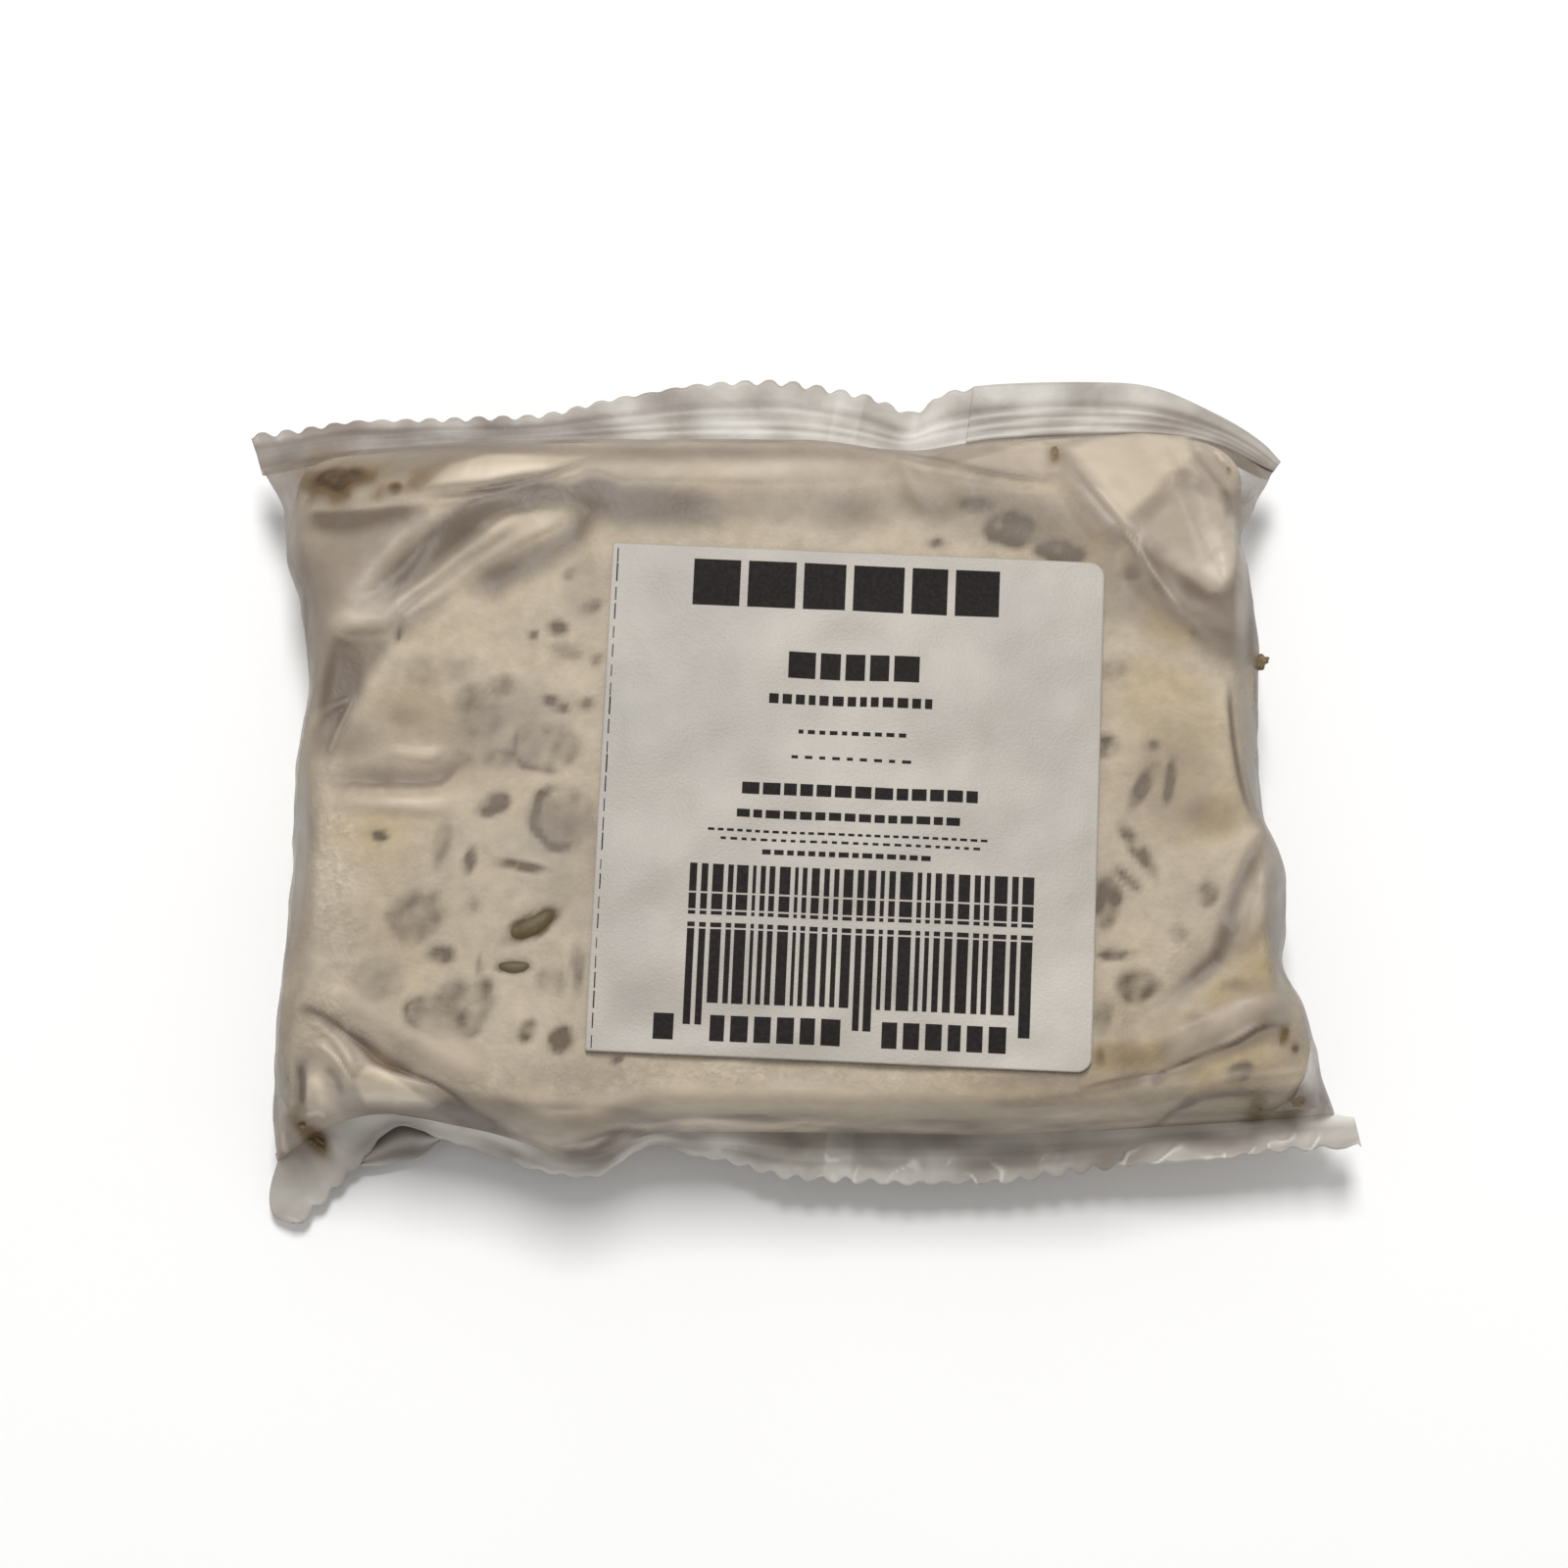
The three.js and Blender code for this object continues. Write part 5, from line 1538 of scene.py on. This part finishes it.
def cake_body():
    """The cake: upper and lower sheets and a bulging wall, dented and coloured over its beans."""
    look = bpy.context.scene.tempeh_cake
    a, b = np.meshgrid(*(crowded(steps, CAKE_CROWDING) for steps in CAKE_STEPS))
    upper, lower = cake_sheets(a, b)
    x, y = upper[..., 0], upper[..., 1]
    relief = look.relief / MM

    dark, olive = bean_shares(BEANS, x, y)
    fuzz = fields(FUZZ_FIELDS, x, y, FUZZ_EDGE[0], FUZZ_EDGE[1] * waves(x, y, size=3, seed=33))
    yellow = fields(CAKE_STAINS, x, y, YELLOW_EDGE[0], YELLOW_EDGE[1] * waves(x, y, size=3, seed=34))
    grain = grains(x, y, GRAIN["size"], seed=35) - 0.5
    swell = CAKE_SWELL * waves(x, y, size=3.6, seed=36) - CAKE_SWELL
    upper[..., 2] += swell - relief * dark + GRAIN["height"] * np.clip(fuzz, 0, 1) * grain

    under_beans = scattered(UNDER_BEANS, *((-half, half) for half in UNDER_HALF))
    under_dark, under_olive = bean_shares(under_beans, x, y)
    lower[..., 2] += relief * under_dark

    rim = border(np.arange(x.size).reshape(x.shape))
    high, low = upper.reshape(-1, 3)[rim], lower.reshape(-1, 3)[rim]
    ahead = np.roll(high, -1, axis=0) - np.roll(high, 1, axis=0)
    outward = np.dstack([ahead[:, 1], -ahead[:, 0], np.zeros(len(ahead))])[0]
    outward /= np.linalg.norm(outward, axis=1, keepdims=True)
    reach = np.concatenate([[0], np.cumsum(np.linalg.norm(np.diff(high[:, :2], axis=0), axis=1))])
    beans = scattered(WALL_BEANS, (0, reach[-1]), WALL_SPAN)
    walls, wall_values = [], []
    for share in np.linspace(0, 1, WALL_RINGS + 2)[1:-1]:
        wall = high + (low - high) * share
        wall_dark, wall_olive = bean_shares(beans, reach, wall[:, 2])
        ends = np.sin(np.pi * share)
        uneven = WALL_BULGE * waves(reach, wall[:, 2], size=5, seed=37)
        bulge = WALL_BULGE * ends + ends * (uneven - relief * wall_dark)
        walls.append(wall + outward * bulge[:, None])
        wall_values.append((wall_dark, wall_olive))

    body = block(upper, lower, *walls)
    wall_dark, wall_olive = (np.concatenate(rows) for rows in zip(*wall_values))
    plain = np.zeros(len(wall_dark) + x.size)
    values = {
        "bean": np.concatenate([dark.ravel(), under_dark.ravel(), wall_dark]),
        "olive": np.concatenate([olive.ravel(), under_olive.ravel(), wall_olive]),
        "fuzz": np.concatenate([np.clip(fuzz, 0, 1).ravel(), plain]),
        "yellow": np.concatenate([np.clip(yellow, 0, 1).ravel(), plain]),
    }
    return body, values


def cake_finish():
    """Felted cream mould with yellowed clouds, grey beans under it and olive ones in the open."""
    look = bpy.context.scene.tempeh_cake
    cake = Finish("tempeh_mould", Roughness=0.82)
    cloud = cake.span(cake.noise(9, 3), 0.45, 0.75, 0, 0.3)
    colour = cake.mix(cake.math("ADD", cake.value("yellow"), cloud, clamp=True), look.cream, look.yellow)
    mottle = cake.span(cake.noise(1.5, 4), 0.25, 0.75, 0.82, 1.08)
    colour = cake.mix(1.0, colour, mottle, "MULTIPLY")
    bean_colour = cake.mix(cake.value("olive"), look.grey, look.olive)
    bean = cake.math("MULTIPLY", cake.value("bean"), cake.span(cake.noise(1.2, 3), 0.2, 0.55, 0.8, 1.15))
    colour = cake.mix(bean, colour, bean_colour)
    sparkle = cake.math("MULTIPLY", cake.value("fuzz"), cake.span(cake.noise(0.7, 4), 0.42, 0.68))
    cake.feed("Base Color", cake.mix(cake.math("MULTIPLY", sparkle, 0.5), colour, look.fuzz))
    felt = cake.math("ADD", cake.noise(0.5, 3), cake.math("MULTIPLY", sparkle, 0.8))
    cake.bump(felt, 0.25, 0.6)
    return cake.material


class TEMPEH_OT_cake(bpy.types.Operator):
    """Cake of tempeh"""

    bl_idname = "tempeh.cake"
    bl_label = "Tempeh cake"

    def execute(self, context):
        body, values = cake_body()
        piece("tempeh_cake", body, cake_finish(), "tempeh", **values)
        return {"FINISHED"}


# ---------------------------------------------------------------- soybeans and crumbs

BARE = 0.5  # beans at least this olive stand out of the mould
BEAN_STEPS = 10
BEAN_STANDS = 0.12  # how far a bare bean stands over the mould
BEAN_THICK = (0.3, 0.7)  # its half thickness: as a share of its mark's width, and at the most
BEAN_PART = (0.46, 0.44)  # its half length and width, as shares of its mark in the mould
BEAN_BEND = 0.06  # as a share of its mark's length
# bare beans on the cake's wall and underside: how many, below what height, their half lengths, and
# their half width, half thickness, depth and bend as shares of that
SPARE_BEANS = {"count": 60, "below": 9, "seed": 81, "half": (1.6, 3.4), "slim": (0.62, 0.42)}
SPARE_LIE = {"deep": 0.3, "bend": 0.12, "olive": 0.8}
SLANT = (0.3, 0.5, 0.8)  # its cross product with the outward direction is the way such a bean points
DOME_RIM = 0.05  # how thick a lump's rim is, as a share of its middle
CRUMB_ROUGH = 0.22
CRUMB_BEND = 0.1  # as a share of its length
CRUMB_SEED = 100  # of the first crumb
# place, length and width, turn in degrees, and how deep under the film's face the middle lies
Crumb = namedtuple("Crumb", "x y long wide turn depth")
CRUMBS = [
    Crumb(-47.8, 31.5, 2.6, 1.5, 8, 1),
    Crumb(-45.7, 31.6, 2.2, 1.3, -10, 1),
    Crumb(-47.8, 29.6, 1.4, 0.9, 30, 0.9),
    Crumb(-40.8, 29.7, 0.8, 0.7, 0, 0.5),
    Crumb(-50.2, -34.6, 1.4, 0.8, -40, 0.6),
    Crumb(-49.8, -35.4, 2.6, 0.6, -50, 0.1),
    Crumb(-49, -36.2, 1.8, 0.5, -44, 0.1),
    Crumb(-49, -35.5, 2, 0.4, -46, 0.1),
    Crumb(50.7, -32.6, 1.5, 1, 20, 0.9),
    Crumb(48.7, -26.6, 1.5, 0.6, 70, 0.3),
    Crumb(49.9, -27.8, 0.6, 0.5, 0, 0.3),
    Crumb(46.4, -33.1, 1.5, 0.7, -20, 0.8),
    Crumb(26.6, 33.3, 0.8, 1.5, 0, 0.5),
    Crumb(47.6, 12.4, 1.9, 1.6, 20, 0.1),
]


def lump(centre, ahead, up, sizes, bend=0, rough=0, seed=0):
    """A rounded body: two domes on a disc, stretched to half sizes, bent sideways, roughened by waves."""
    a, b = np.meshgrid(np.linspace(-1, 1, BEAN_STEPS), np.linspace(-1, 1, BEAN_STEPS))
    x, y = round_corners(a, b, (1, 1), 1)
    dome = DOME_RIM + (1 - DOME_RIM) * np.sqrt(np.clip(1 - x**2 - y**2, 0, 1))
    side = np.cross(up, ahead)
    sheets = []
    for sign in (1, -1):
        swell = (1 + rough * waves(2 * x, 2 * y + sign, 1, seed))[..., None]
        local = ahead * (x * sizes[0])[..., None] + side * (y * sizes[1] + bend * x**2)[..., None]
        sheets.append(centre + (local + up * (sign * dome * sizes[2])[..., None]) * swell)
    return block(*sheets)


def heading(degrees):
    """The level direction that is turned that far from +X."""
    turn = math.radians(degrees)
    return np.array([math.cos(turn), math.sin(turn), 0])


def cake_face(x, y):
    """Height of the cake's plain upper face."""
    x, y = np.asarray(x, float), np.asarray(y, float)
    return crown(x, y) + sag(x, y) + ridges_and_grooves(x, y)[1] - CAKE_GAP


class TEMPEH_OT_soybeans(bpy.types.Operator):
    """Soybeans that stand out of the mould"""

    bl_idname = "tempeh.soybeans"
    bl_label = "Soybeans"

    def execute(self, context):
        bodies, olive = [], []
        for bean in BEANS:
            if bean.olive < BARE:
                continue
            thick = min(BEAN_THICK[0] * bean.wide, BEAN_THICK[1])
            centre = np.array([bean.x, bean.y, cake_face([bean.x], [bean.y])[0] - thick + BEAN_STANDS])
            sizes = (BEAN_PART[0] * bean.long, BEAN_PART[1] * bean.wide, thick)
            bodies.append(lump(centre, heading(bean.turn), UPRIGHT, sizes, BEAN_BEND * bean.long))
            olive.append(bean.olive)
        for centre, up, size in self.spare_places():
            ahead = np.cross(up, SLANT)
            ahead /= np.linalg.norm(ahead)
            sizes = (size, *(size * share for share in SPARE_BEANS["slim"]))
            sunk = centre - up * size * SPARE_LIE["deep"]
            bodies.append(lump(sunk, ahead, up, sizes, SPARE_LIE["bend"] * size))
            olive.append(SPARE_LIE["olive"])
        body = joined(bodies)
        finish = self.finish()
        each = len(body.points) // len(bodies)
        piece("soybeans", body, finish, "bean", olive=np.repeat(olive, each))
        return {"FINISHED"}

    @staticmethod
    def spare_places():
        """Places, outward directions and half lengths of the bare beans on the cake's wall and underside."""
        mesh = bpy.data.objects["tempeh_cake"].data
        points, outward = np.empty(3 * len(mesh.vertices)), np.empty(3 * len(mesh.vertices))
        mesh.vertices.foreach_get("co", points)
        mesh.vertices.foreach_get("normal", outward)
        points = points.reshape(-1, 3) / MM - DRAWING_ORIGIN
        outward = outward.reshape(-1, 3)
        rng = np.random.default_rng(SPARE_BEANS["seed"])
        low = np.flatnonzero(points[:, 2] < SPARE_BEANS["below"])
        chosen = rng.choice(low, SPARE_BEANS["count"], replace=False)
        halves = rng.uniform(*SPARE_BEANS["half"], SPARE_BEANS["count"])
        return zip(points[chosen], outward[chosen], halves)

    @staticmethod
    def finish():
        """Satin bean skin, olive or grey-brown, thinly veiled by mould."""
        look = bpy.context.scene.tempeh_cake
        skin = Finish("soybean_skin", Roughness=0.55)
        colour = skin.mix(skin.value("olive"), look.grey, look.olive)
        colour = skin.mix(skin.span(skin.noise(1.1, 4), 0.55, 0.9, 0, 0.12), colour, look.cream)
        skin.feed("Base Color", colour)
        skin.bump(skin.noise(0.5, 3), 0.1, 0.5)
        return skin.material


class TEMPEH_OT_crumbs(bpy.types.Operator):
    """Brown crumbs caught in the film's corners"""

    bl_idname = "tempeh.crumbs"
    bl_label = "Crumbs"

    def execute(self, context):
        look = context.scene.tempeh_cake
        sheet = top_sheet(*film_grid())[0].reshape(-1, 3)
        bodies = []
        for k, crumb in enumerate(CRUMBS):
            nearest = np.hypot(sheet[:, 0] - crumb.x, sheet[:, 1] - crumb.y).argmin()
            centre = np.array([crumb.x, crumb.y, sheet[nearest, 2] - crumb.depth])
            sizes = (crumb.long / 2, crumb.wide / 2, crumb.wide / 3)
            bend = CRUMB_BEND * crumb.long
            look_of = (bend, CRUMB_ROUGH, CRUMB_SEED + k)
            bodies.append(lump(centre, heading(crumb.turn), UPRIGHT, sizes, *look_of))
        crust = Finish("crumb_crust", Roughness=0.6)
        mottle = crust.span(crust.noise(0.5, 4), 0.35, 0.65)
        crust.feed("Base Color", crust.mix(mottle, look.crumb, look.crumb_pale))
        crust.bump(crust.noise(0.3, 3), 0.15, 0.6)
        piece("crumbs", joined(bodies), crust.material, "bean")
        return {"FINISHED"}


# ---------------------------------------------------------------- label

SQUARE_CORNER = 0.25  # the label's left corners are cut square
LABEL_STEPS = (180, 190)  # of its grid
LABEL_CROWDING = 0.3
LABEL_SWELLS = (0.2, 0.06)  # heights of its broad and its fine swells
LABEL_ROOM = 0.2  # and the room for them over the film
LABEL_RIM = (-1, 3)  # they come up between these distances from its edges
LABEL_SOFT = 0.9  # how softly its painted light and shade end


def label_surface(p, q):
    """Points of the label's face at its own coordinates: the film's crown, lifted, with soft swells."""
    look = bpy.context.scene.tempeh_label
    x, y = turned(p, q, -math.degrees(look.turn))
    x, y = x + LABEL_CENTRE[0], y + LABEL_CENTRE[1]
    broad, fine = LABEL_SWELLS
    swell = broad * waves(p, q, size=8, seed=41) + fine * waves(p, q, size=3.2, seed=42)
    edge = smooth(look.width / MM / 2 - np.abs(p), *LABEL_RIM)
    edge = edge * smooth(look.height / MM / 2 - np.abs(q), *LABEL_RIM)
    return np.stack([x, y, crown(x, y) + look.lift / MM + LABEL_ROOM + swell * edge], axis=-1)


LABEL_SHADE_FIELDS = [  # painted light and shade of the paper's soft swells, in its own coordinates
    Field(-16, 13, 20, 16, 10, -0.07),
    Field(19, 8, 18, 14, 18, -0.07),
    Field(-18, -2, 16, 3.4, 20, -0.05),
    Field(0, 16, 24, 12, 0, 0.11),
    Field(19, -21, 20, 12, 0, 0.2),
    Field(2, 2, 26, 12, 8, 0.09),
    Field(2, 4, 22, 3, 14, 0.03),
]


def label_finish():
    """Semi-matt sticker paper with faint random clouds, and painted light and shade where it lies on the
    film.
    """
    look = bpy.context.scene.tempeh_label
    paper = Finish("label_paper", Roughness=0.5)
    cloud = paper.span(paper.noise(8, 3), 0.35, 0.68, 0.9, 1.05)
    fibre = paper.span(paper.noise(0.35, 3), 0.3, 0.7, 0.975, 1.02)
    # the mesh's values are painted light and shade of the paper's swells
    shade = paper.math("MULTIPLY", paper.math("MULTIPLY", cloud, fibre), paper.value("cloud"))
    paper.feed("Base Color", paper.mix(1.0, look.paper, shade, "MULTIPLY"))
    paper.bump(paper.math("ADD", paper.noise(0.3, 2), paper.noise(4, 2)), 0.12, 0.35)
    return paper.material


class TEMPEH_OT_label(bpy.types.Operator):
    """Paper label"""

    bl_idname = "tempeh.label"
    bl_label = "Label"

    def execute(self, context):
        look = context.scene.tempeh_label
        half = np.array([look.width, look.height]) / MM / 2
        p, q = np.meshgrid(*(h * crowded(n, LABEL_CROWDING) for h, n in zip(half, LABEL_STEPS)))
        radius = np.where(p > 0, look.corner / MM, SQUARE_CORNER)
        p, q = round_corners(p, q, half, radius)
        face = label_surface(p, q)
        body = block(face, face - [0, 0, look.thick / MM])
        # painted light and shade of the paper's swells
        cloud = 1 + fields(LABEL_SHADE_FIELDS, p, q, LABEL_SOFT)
        piece("paper_label", body, label_finish(), "label", ["label"], cloud=np.tile(cloud.ravel(), 2))
        return {"FINISHED"}


WORN_INK = (0.06, 0.056, 0.052)
INK_LIFT = 0.012
INK_THICK = 0.03
INK_STEP = 1.2  # longest step of a printed block's grid, so that it follows the paper


def ink_block(left, right, low, high):
    """A thin printed block in the label's own coordinates, laid on its face."""
    columns = max(2, math.ceil((right - left) / INK_STEP) + 1)
    rows = max(2, math.ceil((high - low) / INK_STEP) + 1)
    p, q = np.meshgrid(np.linspace(left, right, columns), np.linspace(low, high, rows))
    face = label_surface(p, q)
    return block(face + [0, 0, INK_LIFT + INK_THICK], face + [0, 0, INK_LIFT - INK_THICK])


# a row of plain blocks: its ends, its height, how many blocks it has and the gap between them
PrintRow = namedtuple("PrintRow", "left right low high blocks gap")
PRINT_ROWS = [
    PrintRow(-16.6, 14.4, 19.8, 24.6, 6, 0.8),
    PrintRow(-6.6, 6.6, 12.6, 15.3, 5, 0.5),
    PrintRow(-8.4, 8, 9.9, 10.9, 13, 0.4),
    PrintRow(-5.3, 5.5, 6.9, 7.3, 10, 0.45),
    PrintRow(-5.9, 6.1, 4.3, 4.6, 9, 0.7),
    PrintRow(-10.7, 12.9, 0.5, 1.7, 13, 0.35),
    PrintRow(-11.1, 11.2, -1.9, -1.1, 15, 0.35),
    PrintRow(-13.9, 14, -3.4, -3.15, 30, 0.35),
    PrintRow(-12.6, 13.3, -4.25, -4, 26, 0.45),
    PrintRow(-8.4, 8.4, -5.6, -5.1, 15, 0.35),
    PrintRow(-18.4, -16.4, -24.5, -21.9, 1, 0),
    PrintRow(-12.8, 0.1, -24.5, -21.9, 6, 0.6),
    PrintRow(4.2, 16.5, -24.5, -21.9, 6, 0.6),
]
BARS = {"left": -15.5, "right": 18.8, "low": -20.7, "high": -6.8, "guard": -22.9, "count": 30}
GAPS = (-13.35, -13.15, -12.7, -11.9, -11.55, -11.35, -9.8, -9.6)  # ends of the white lines across the bars
DASHES = {"left": -24.45, "width": 0.15, "low": -25.7, "high": 25.9, "count": 26}


ROW_SEED = 50  # of the first row; each next row's is one more
BLOCK_WIDTHS = (0.75, 1.25)  # a block's least and greatest share of the even width


def print_row(row, seed):
    """A row of blocks with random widths and even gaps, as spans from left to right."""
    rng = np.random.default_rng(seed)
    widths = rng.uniform(*BLOCK_WIDTHS, row.blocks)
    widths *= (row.right - row.left - row.gap * (row.blocks - 1)) / widths.sum()
    starts = row.left + np.concatenate([[0], np.cumsum(widths + row.gap)[:-1]])
    return [(start, start + width) for start, width in zip(starts, widths)]


BAR_SEED = 70
BAR_WIDTHS = (0.4, 1.7)  # least and greatest, as shares
GAP_WIDTHS = (0.3, 0.55)


def bars():
    """Two tiers of plain upright bars with random widths; the outer, middle and last ones reach lower."""
    widths = np.random.default_rng(BAR_SEED).uniform(*BAR_WIDTHS, 2 * BARS["count"] - 1)
    widths[1::2] = np.clip(widths[1::2], *GAP_WIDTHS)
    reach = np.concatenate([[0], np.cumsum(widths)])
    edges = BARS["left"] + reach * (BARS["right"] - BARS["left"]) / widths.sum()
    blocks = []
    for k in range(BARS["count"]):
        left, right = edges[2 * k], edges[2 * k + 1]
        guard = k in (0, 1, BARS["count"] // 2, BARS["count"] // 2 + 1, BARS["count"] - 1)
        levels = [BARS["guard"] if guard else BARS["low"], *GAPS, BARS["high"]]
        blocks += [ink_block(left, right, low, high) for low, high in zip(levels[::2], levels[1::2])]
    return blocks


DASH_SEED = 71
DASH_SHARES = (0.5, 0.97)  # how much of its step a dash fills, least and most


def dashes():
    """A line of fine dashes down the label's left edge."""
    ends = np.linspace(DASHES["low"], DASHES["high"], DASHES["count"] + 1)
    share = np.random.default_rng(DASH_SEED).uniform(*DASH_SHARES, DASHES["count"])
    blocks = []
    for low, high, part in zip(ends, ends[1:], share):
        right = DASHES["left"] + DASHES["width"] * part
        blocks.append(ink_block(DASHES["left"], right, low, low + (high - low) * part))
    return blocks


class TEMPEH_OT_print(bpy.types.Operator):
    """Plain printed fields of the label"""

    bl_idname = "tempeh.print"
    bl_label = "Print"

    def execute(self, context):
        look = context.scene.tempeh_label
        blocks = []
        for k, row in enumerate(PRINT_ROWS):
            blocks += [ink_block(*span, row.low, row.high) for span in print_row(row, ROW_SEED + k)]
        blocks += bars() + dashes()
        ink = Finish("print_ink", Roughness=0.75, Specular_IOR_Level=0.15)
        worn = ink.span(ink.noise(0.4, 2), 0.4, 0.75, 0, 0.2)
        ink.feed("Base Color", ink.mix(worn, look.ink, WORN_INK))
        ink.bump(ink.noise(0.3, 2), 0.03, 0.3)
        piece("label_print", joined(blocks), ink.material, "print", flat=True)
        return {"FINISHED"}


# ---------------------------------------------------------------- stage

CAMERA_TARGET = (-1.15, 0.55, 12)
KEY_PLACE = (-10, 300, 770)
KEY_SIZE = (170, 280)
FLOOR_HALF = 1500
SKY_COLOUR = (1, 0.995, 0.985, 1)


class TEMPEH_OT_stage(bpy.types.Operator):
    """Floor, light and camera"""

    bl_idname = "tempeh.stage"
    bl_label = "Stage"

    def execute(self, context):
        look = context.scene.tempeh_stage
        scene = context.scene
        mesh = bpy.data.meshes.new("floor")
        corners = [(-1, -1, 0), (1, -1, 0), (1, 1, 0), (-1, 1, 0)]
        mesh.from_pydata([Vector(c) * FLOOR_HALF * MM for c in corners], [], [(0, 1, 2, 3)])
        finish = Finish("pale_floor", Roughness=0.9)
        shade = finish.span(finish.noise(60, 2), 0.3, 0.7, 0.985, 1)
        finish.feed("Base Color", finish.mix(1.0, look.floor, shade, "MULTIPLY"))
        mesh.materials.append(finish.material)
        floor = bpy.data.objects.new("floor", mesh)
        scene.collection.objects.link(floor)

        area_light("key_light", KEY_PLACE, (0, 0, 0), KEY_SIZE, look.key)

        world = bpy.data.worlds.new("soft_sky")
        world.use_nodes = True
        background = world.node_tree.nodes["Background"]
        background.inputs["Color"].default_value = SKY_COLOUR
        background.inputs["Strength"].default_value = look.fill
        scene.world = world
        scene.view_settings.view_transform = "Standard"

        target = place(CAMERA_TARGET)
        sight = np.array([0, -math.cos(look.elevation), math.sin(look.elevation)])
        camera = bpy.data.cameras.new("camera")
        camera.sensor_width = 36
        camera.lens = look.lens
        camera.clip_start = 0.01
        holder = bpy.data.objects.new("camera", camera)
        holder.location = target + sight * look.distance
        holder.rotation_euler = (math.pi / 2 - look.elevation, 0, 0)
        scene.collection.objects.link(holder)
        scene.camera = holder
        return {"FINISHED"}


def area_light(name, at, towards, size, power):
    """A soft light, wide and long, that faces a point."""
    light = bpy.data.lights.new(name, "AREA")
    light.shape = "RECTANGLE"
    light.size, light.size_y = np.array(size) * MM
    light.energy = power
    holder = bpy.data.objects.new(name, light)
    holder.location = Vector(at) * MM
    holder.rotation_euler = (Vector(towards) - Vector(at)).to_track_quat("-Z", "Y").to_euler()
    bpy.context.scene.collection.objects.link(holder)


# ---------------------------------------------------------------- add-on

STEPS = ("film", "seals", "fin", "cake", "soybeans", "crumbs", "label", "print", "stage")
SETTINGS = {
    "tempeh_film": FilmSettings,
    "tempeh_cake": CakeSettings,
    "tempeh_label": LabelSettings,
    "tempeh_stage": StageSettings,
}
OPERATORS = (
    TEMPEH_OT_film,
    TEMPEH_OT_seals,
    TEMPEH_OT_fin,
    TEMPEH_OT_cake,
    TEMPEH_OT_soybeans,
    TEMPEH_OT_crumbs,
    TEMPEH_OT_label,
    TEMPEH_OT_print,
    TEMPEH_OT_stage,
)


class TEMPEH_PT_pack(bpy.types.Panel):
    """Steps that build the pack, and their settings"""

    bl_label = "Tempeh pack"
    bl_space_type = "VIEW_3D"
    bl_region_type = "UI"
    bl_category = "Tempeh"

    def draw(self, context):
        for step in STEPS:
            self.layout.operator("tempeh." + step)
        for name, group in SETTINGS.items():
            box = self.layout.box()
            for key in group.__annotations__:
                box.prop(getattr(context.scene, name), key)


def register():
    for group in SETTINGS.values():
        bpy.utils.register_class(group)
    for operator in OPERATORS:
        bpy.utils.register_class(operator)
    bpy.utils.register_class(TEMPEH_PT_pack)
    for name, group in SETTINGS.items():
        setattr(bpy.types.Scene, name, bpy.props.PointerProperty(type=group))


def unregister():
    for name in SETTINGS:
        delattr(bpy.types.Scene, name)
    bpy.utils.unregister_class(TEMPEH_PT_pack)
    for item in (*reversed(OPERATORS), *reversed(SETTINGS.values())):
        bpy.utils.unregister_class(item)


def main():
    register()
    for step in STEPS:
        getattr(bpy.ops.tempeh, step)()


if __name__ == "__main__":
    main()
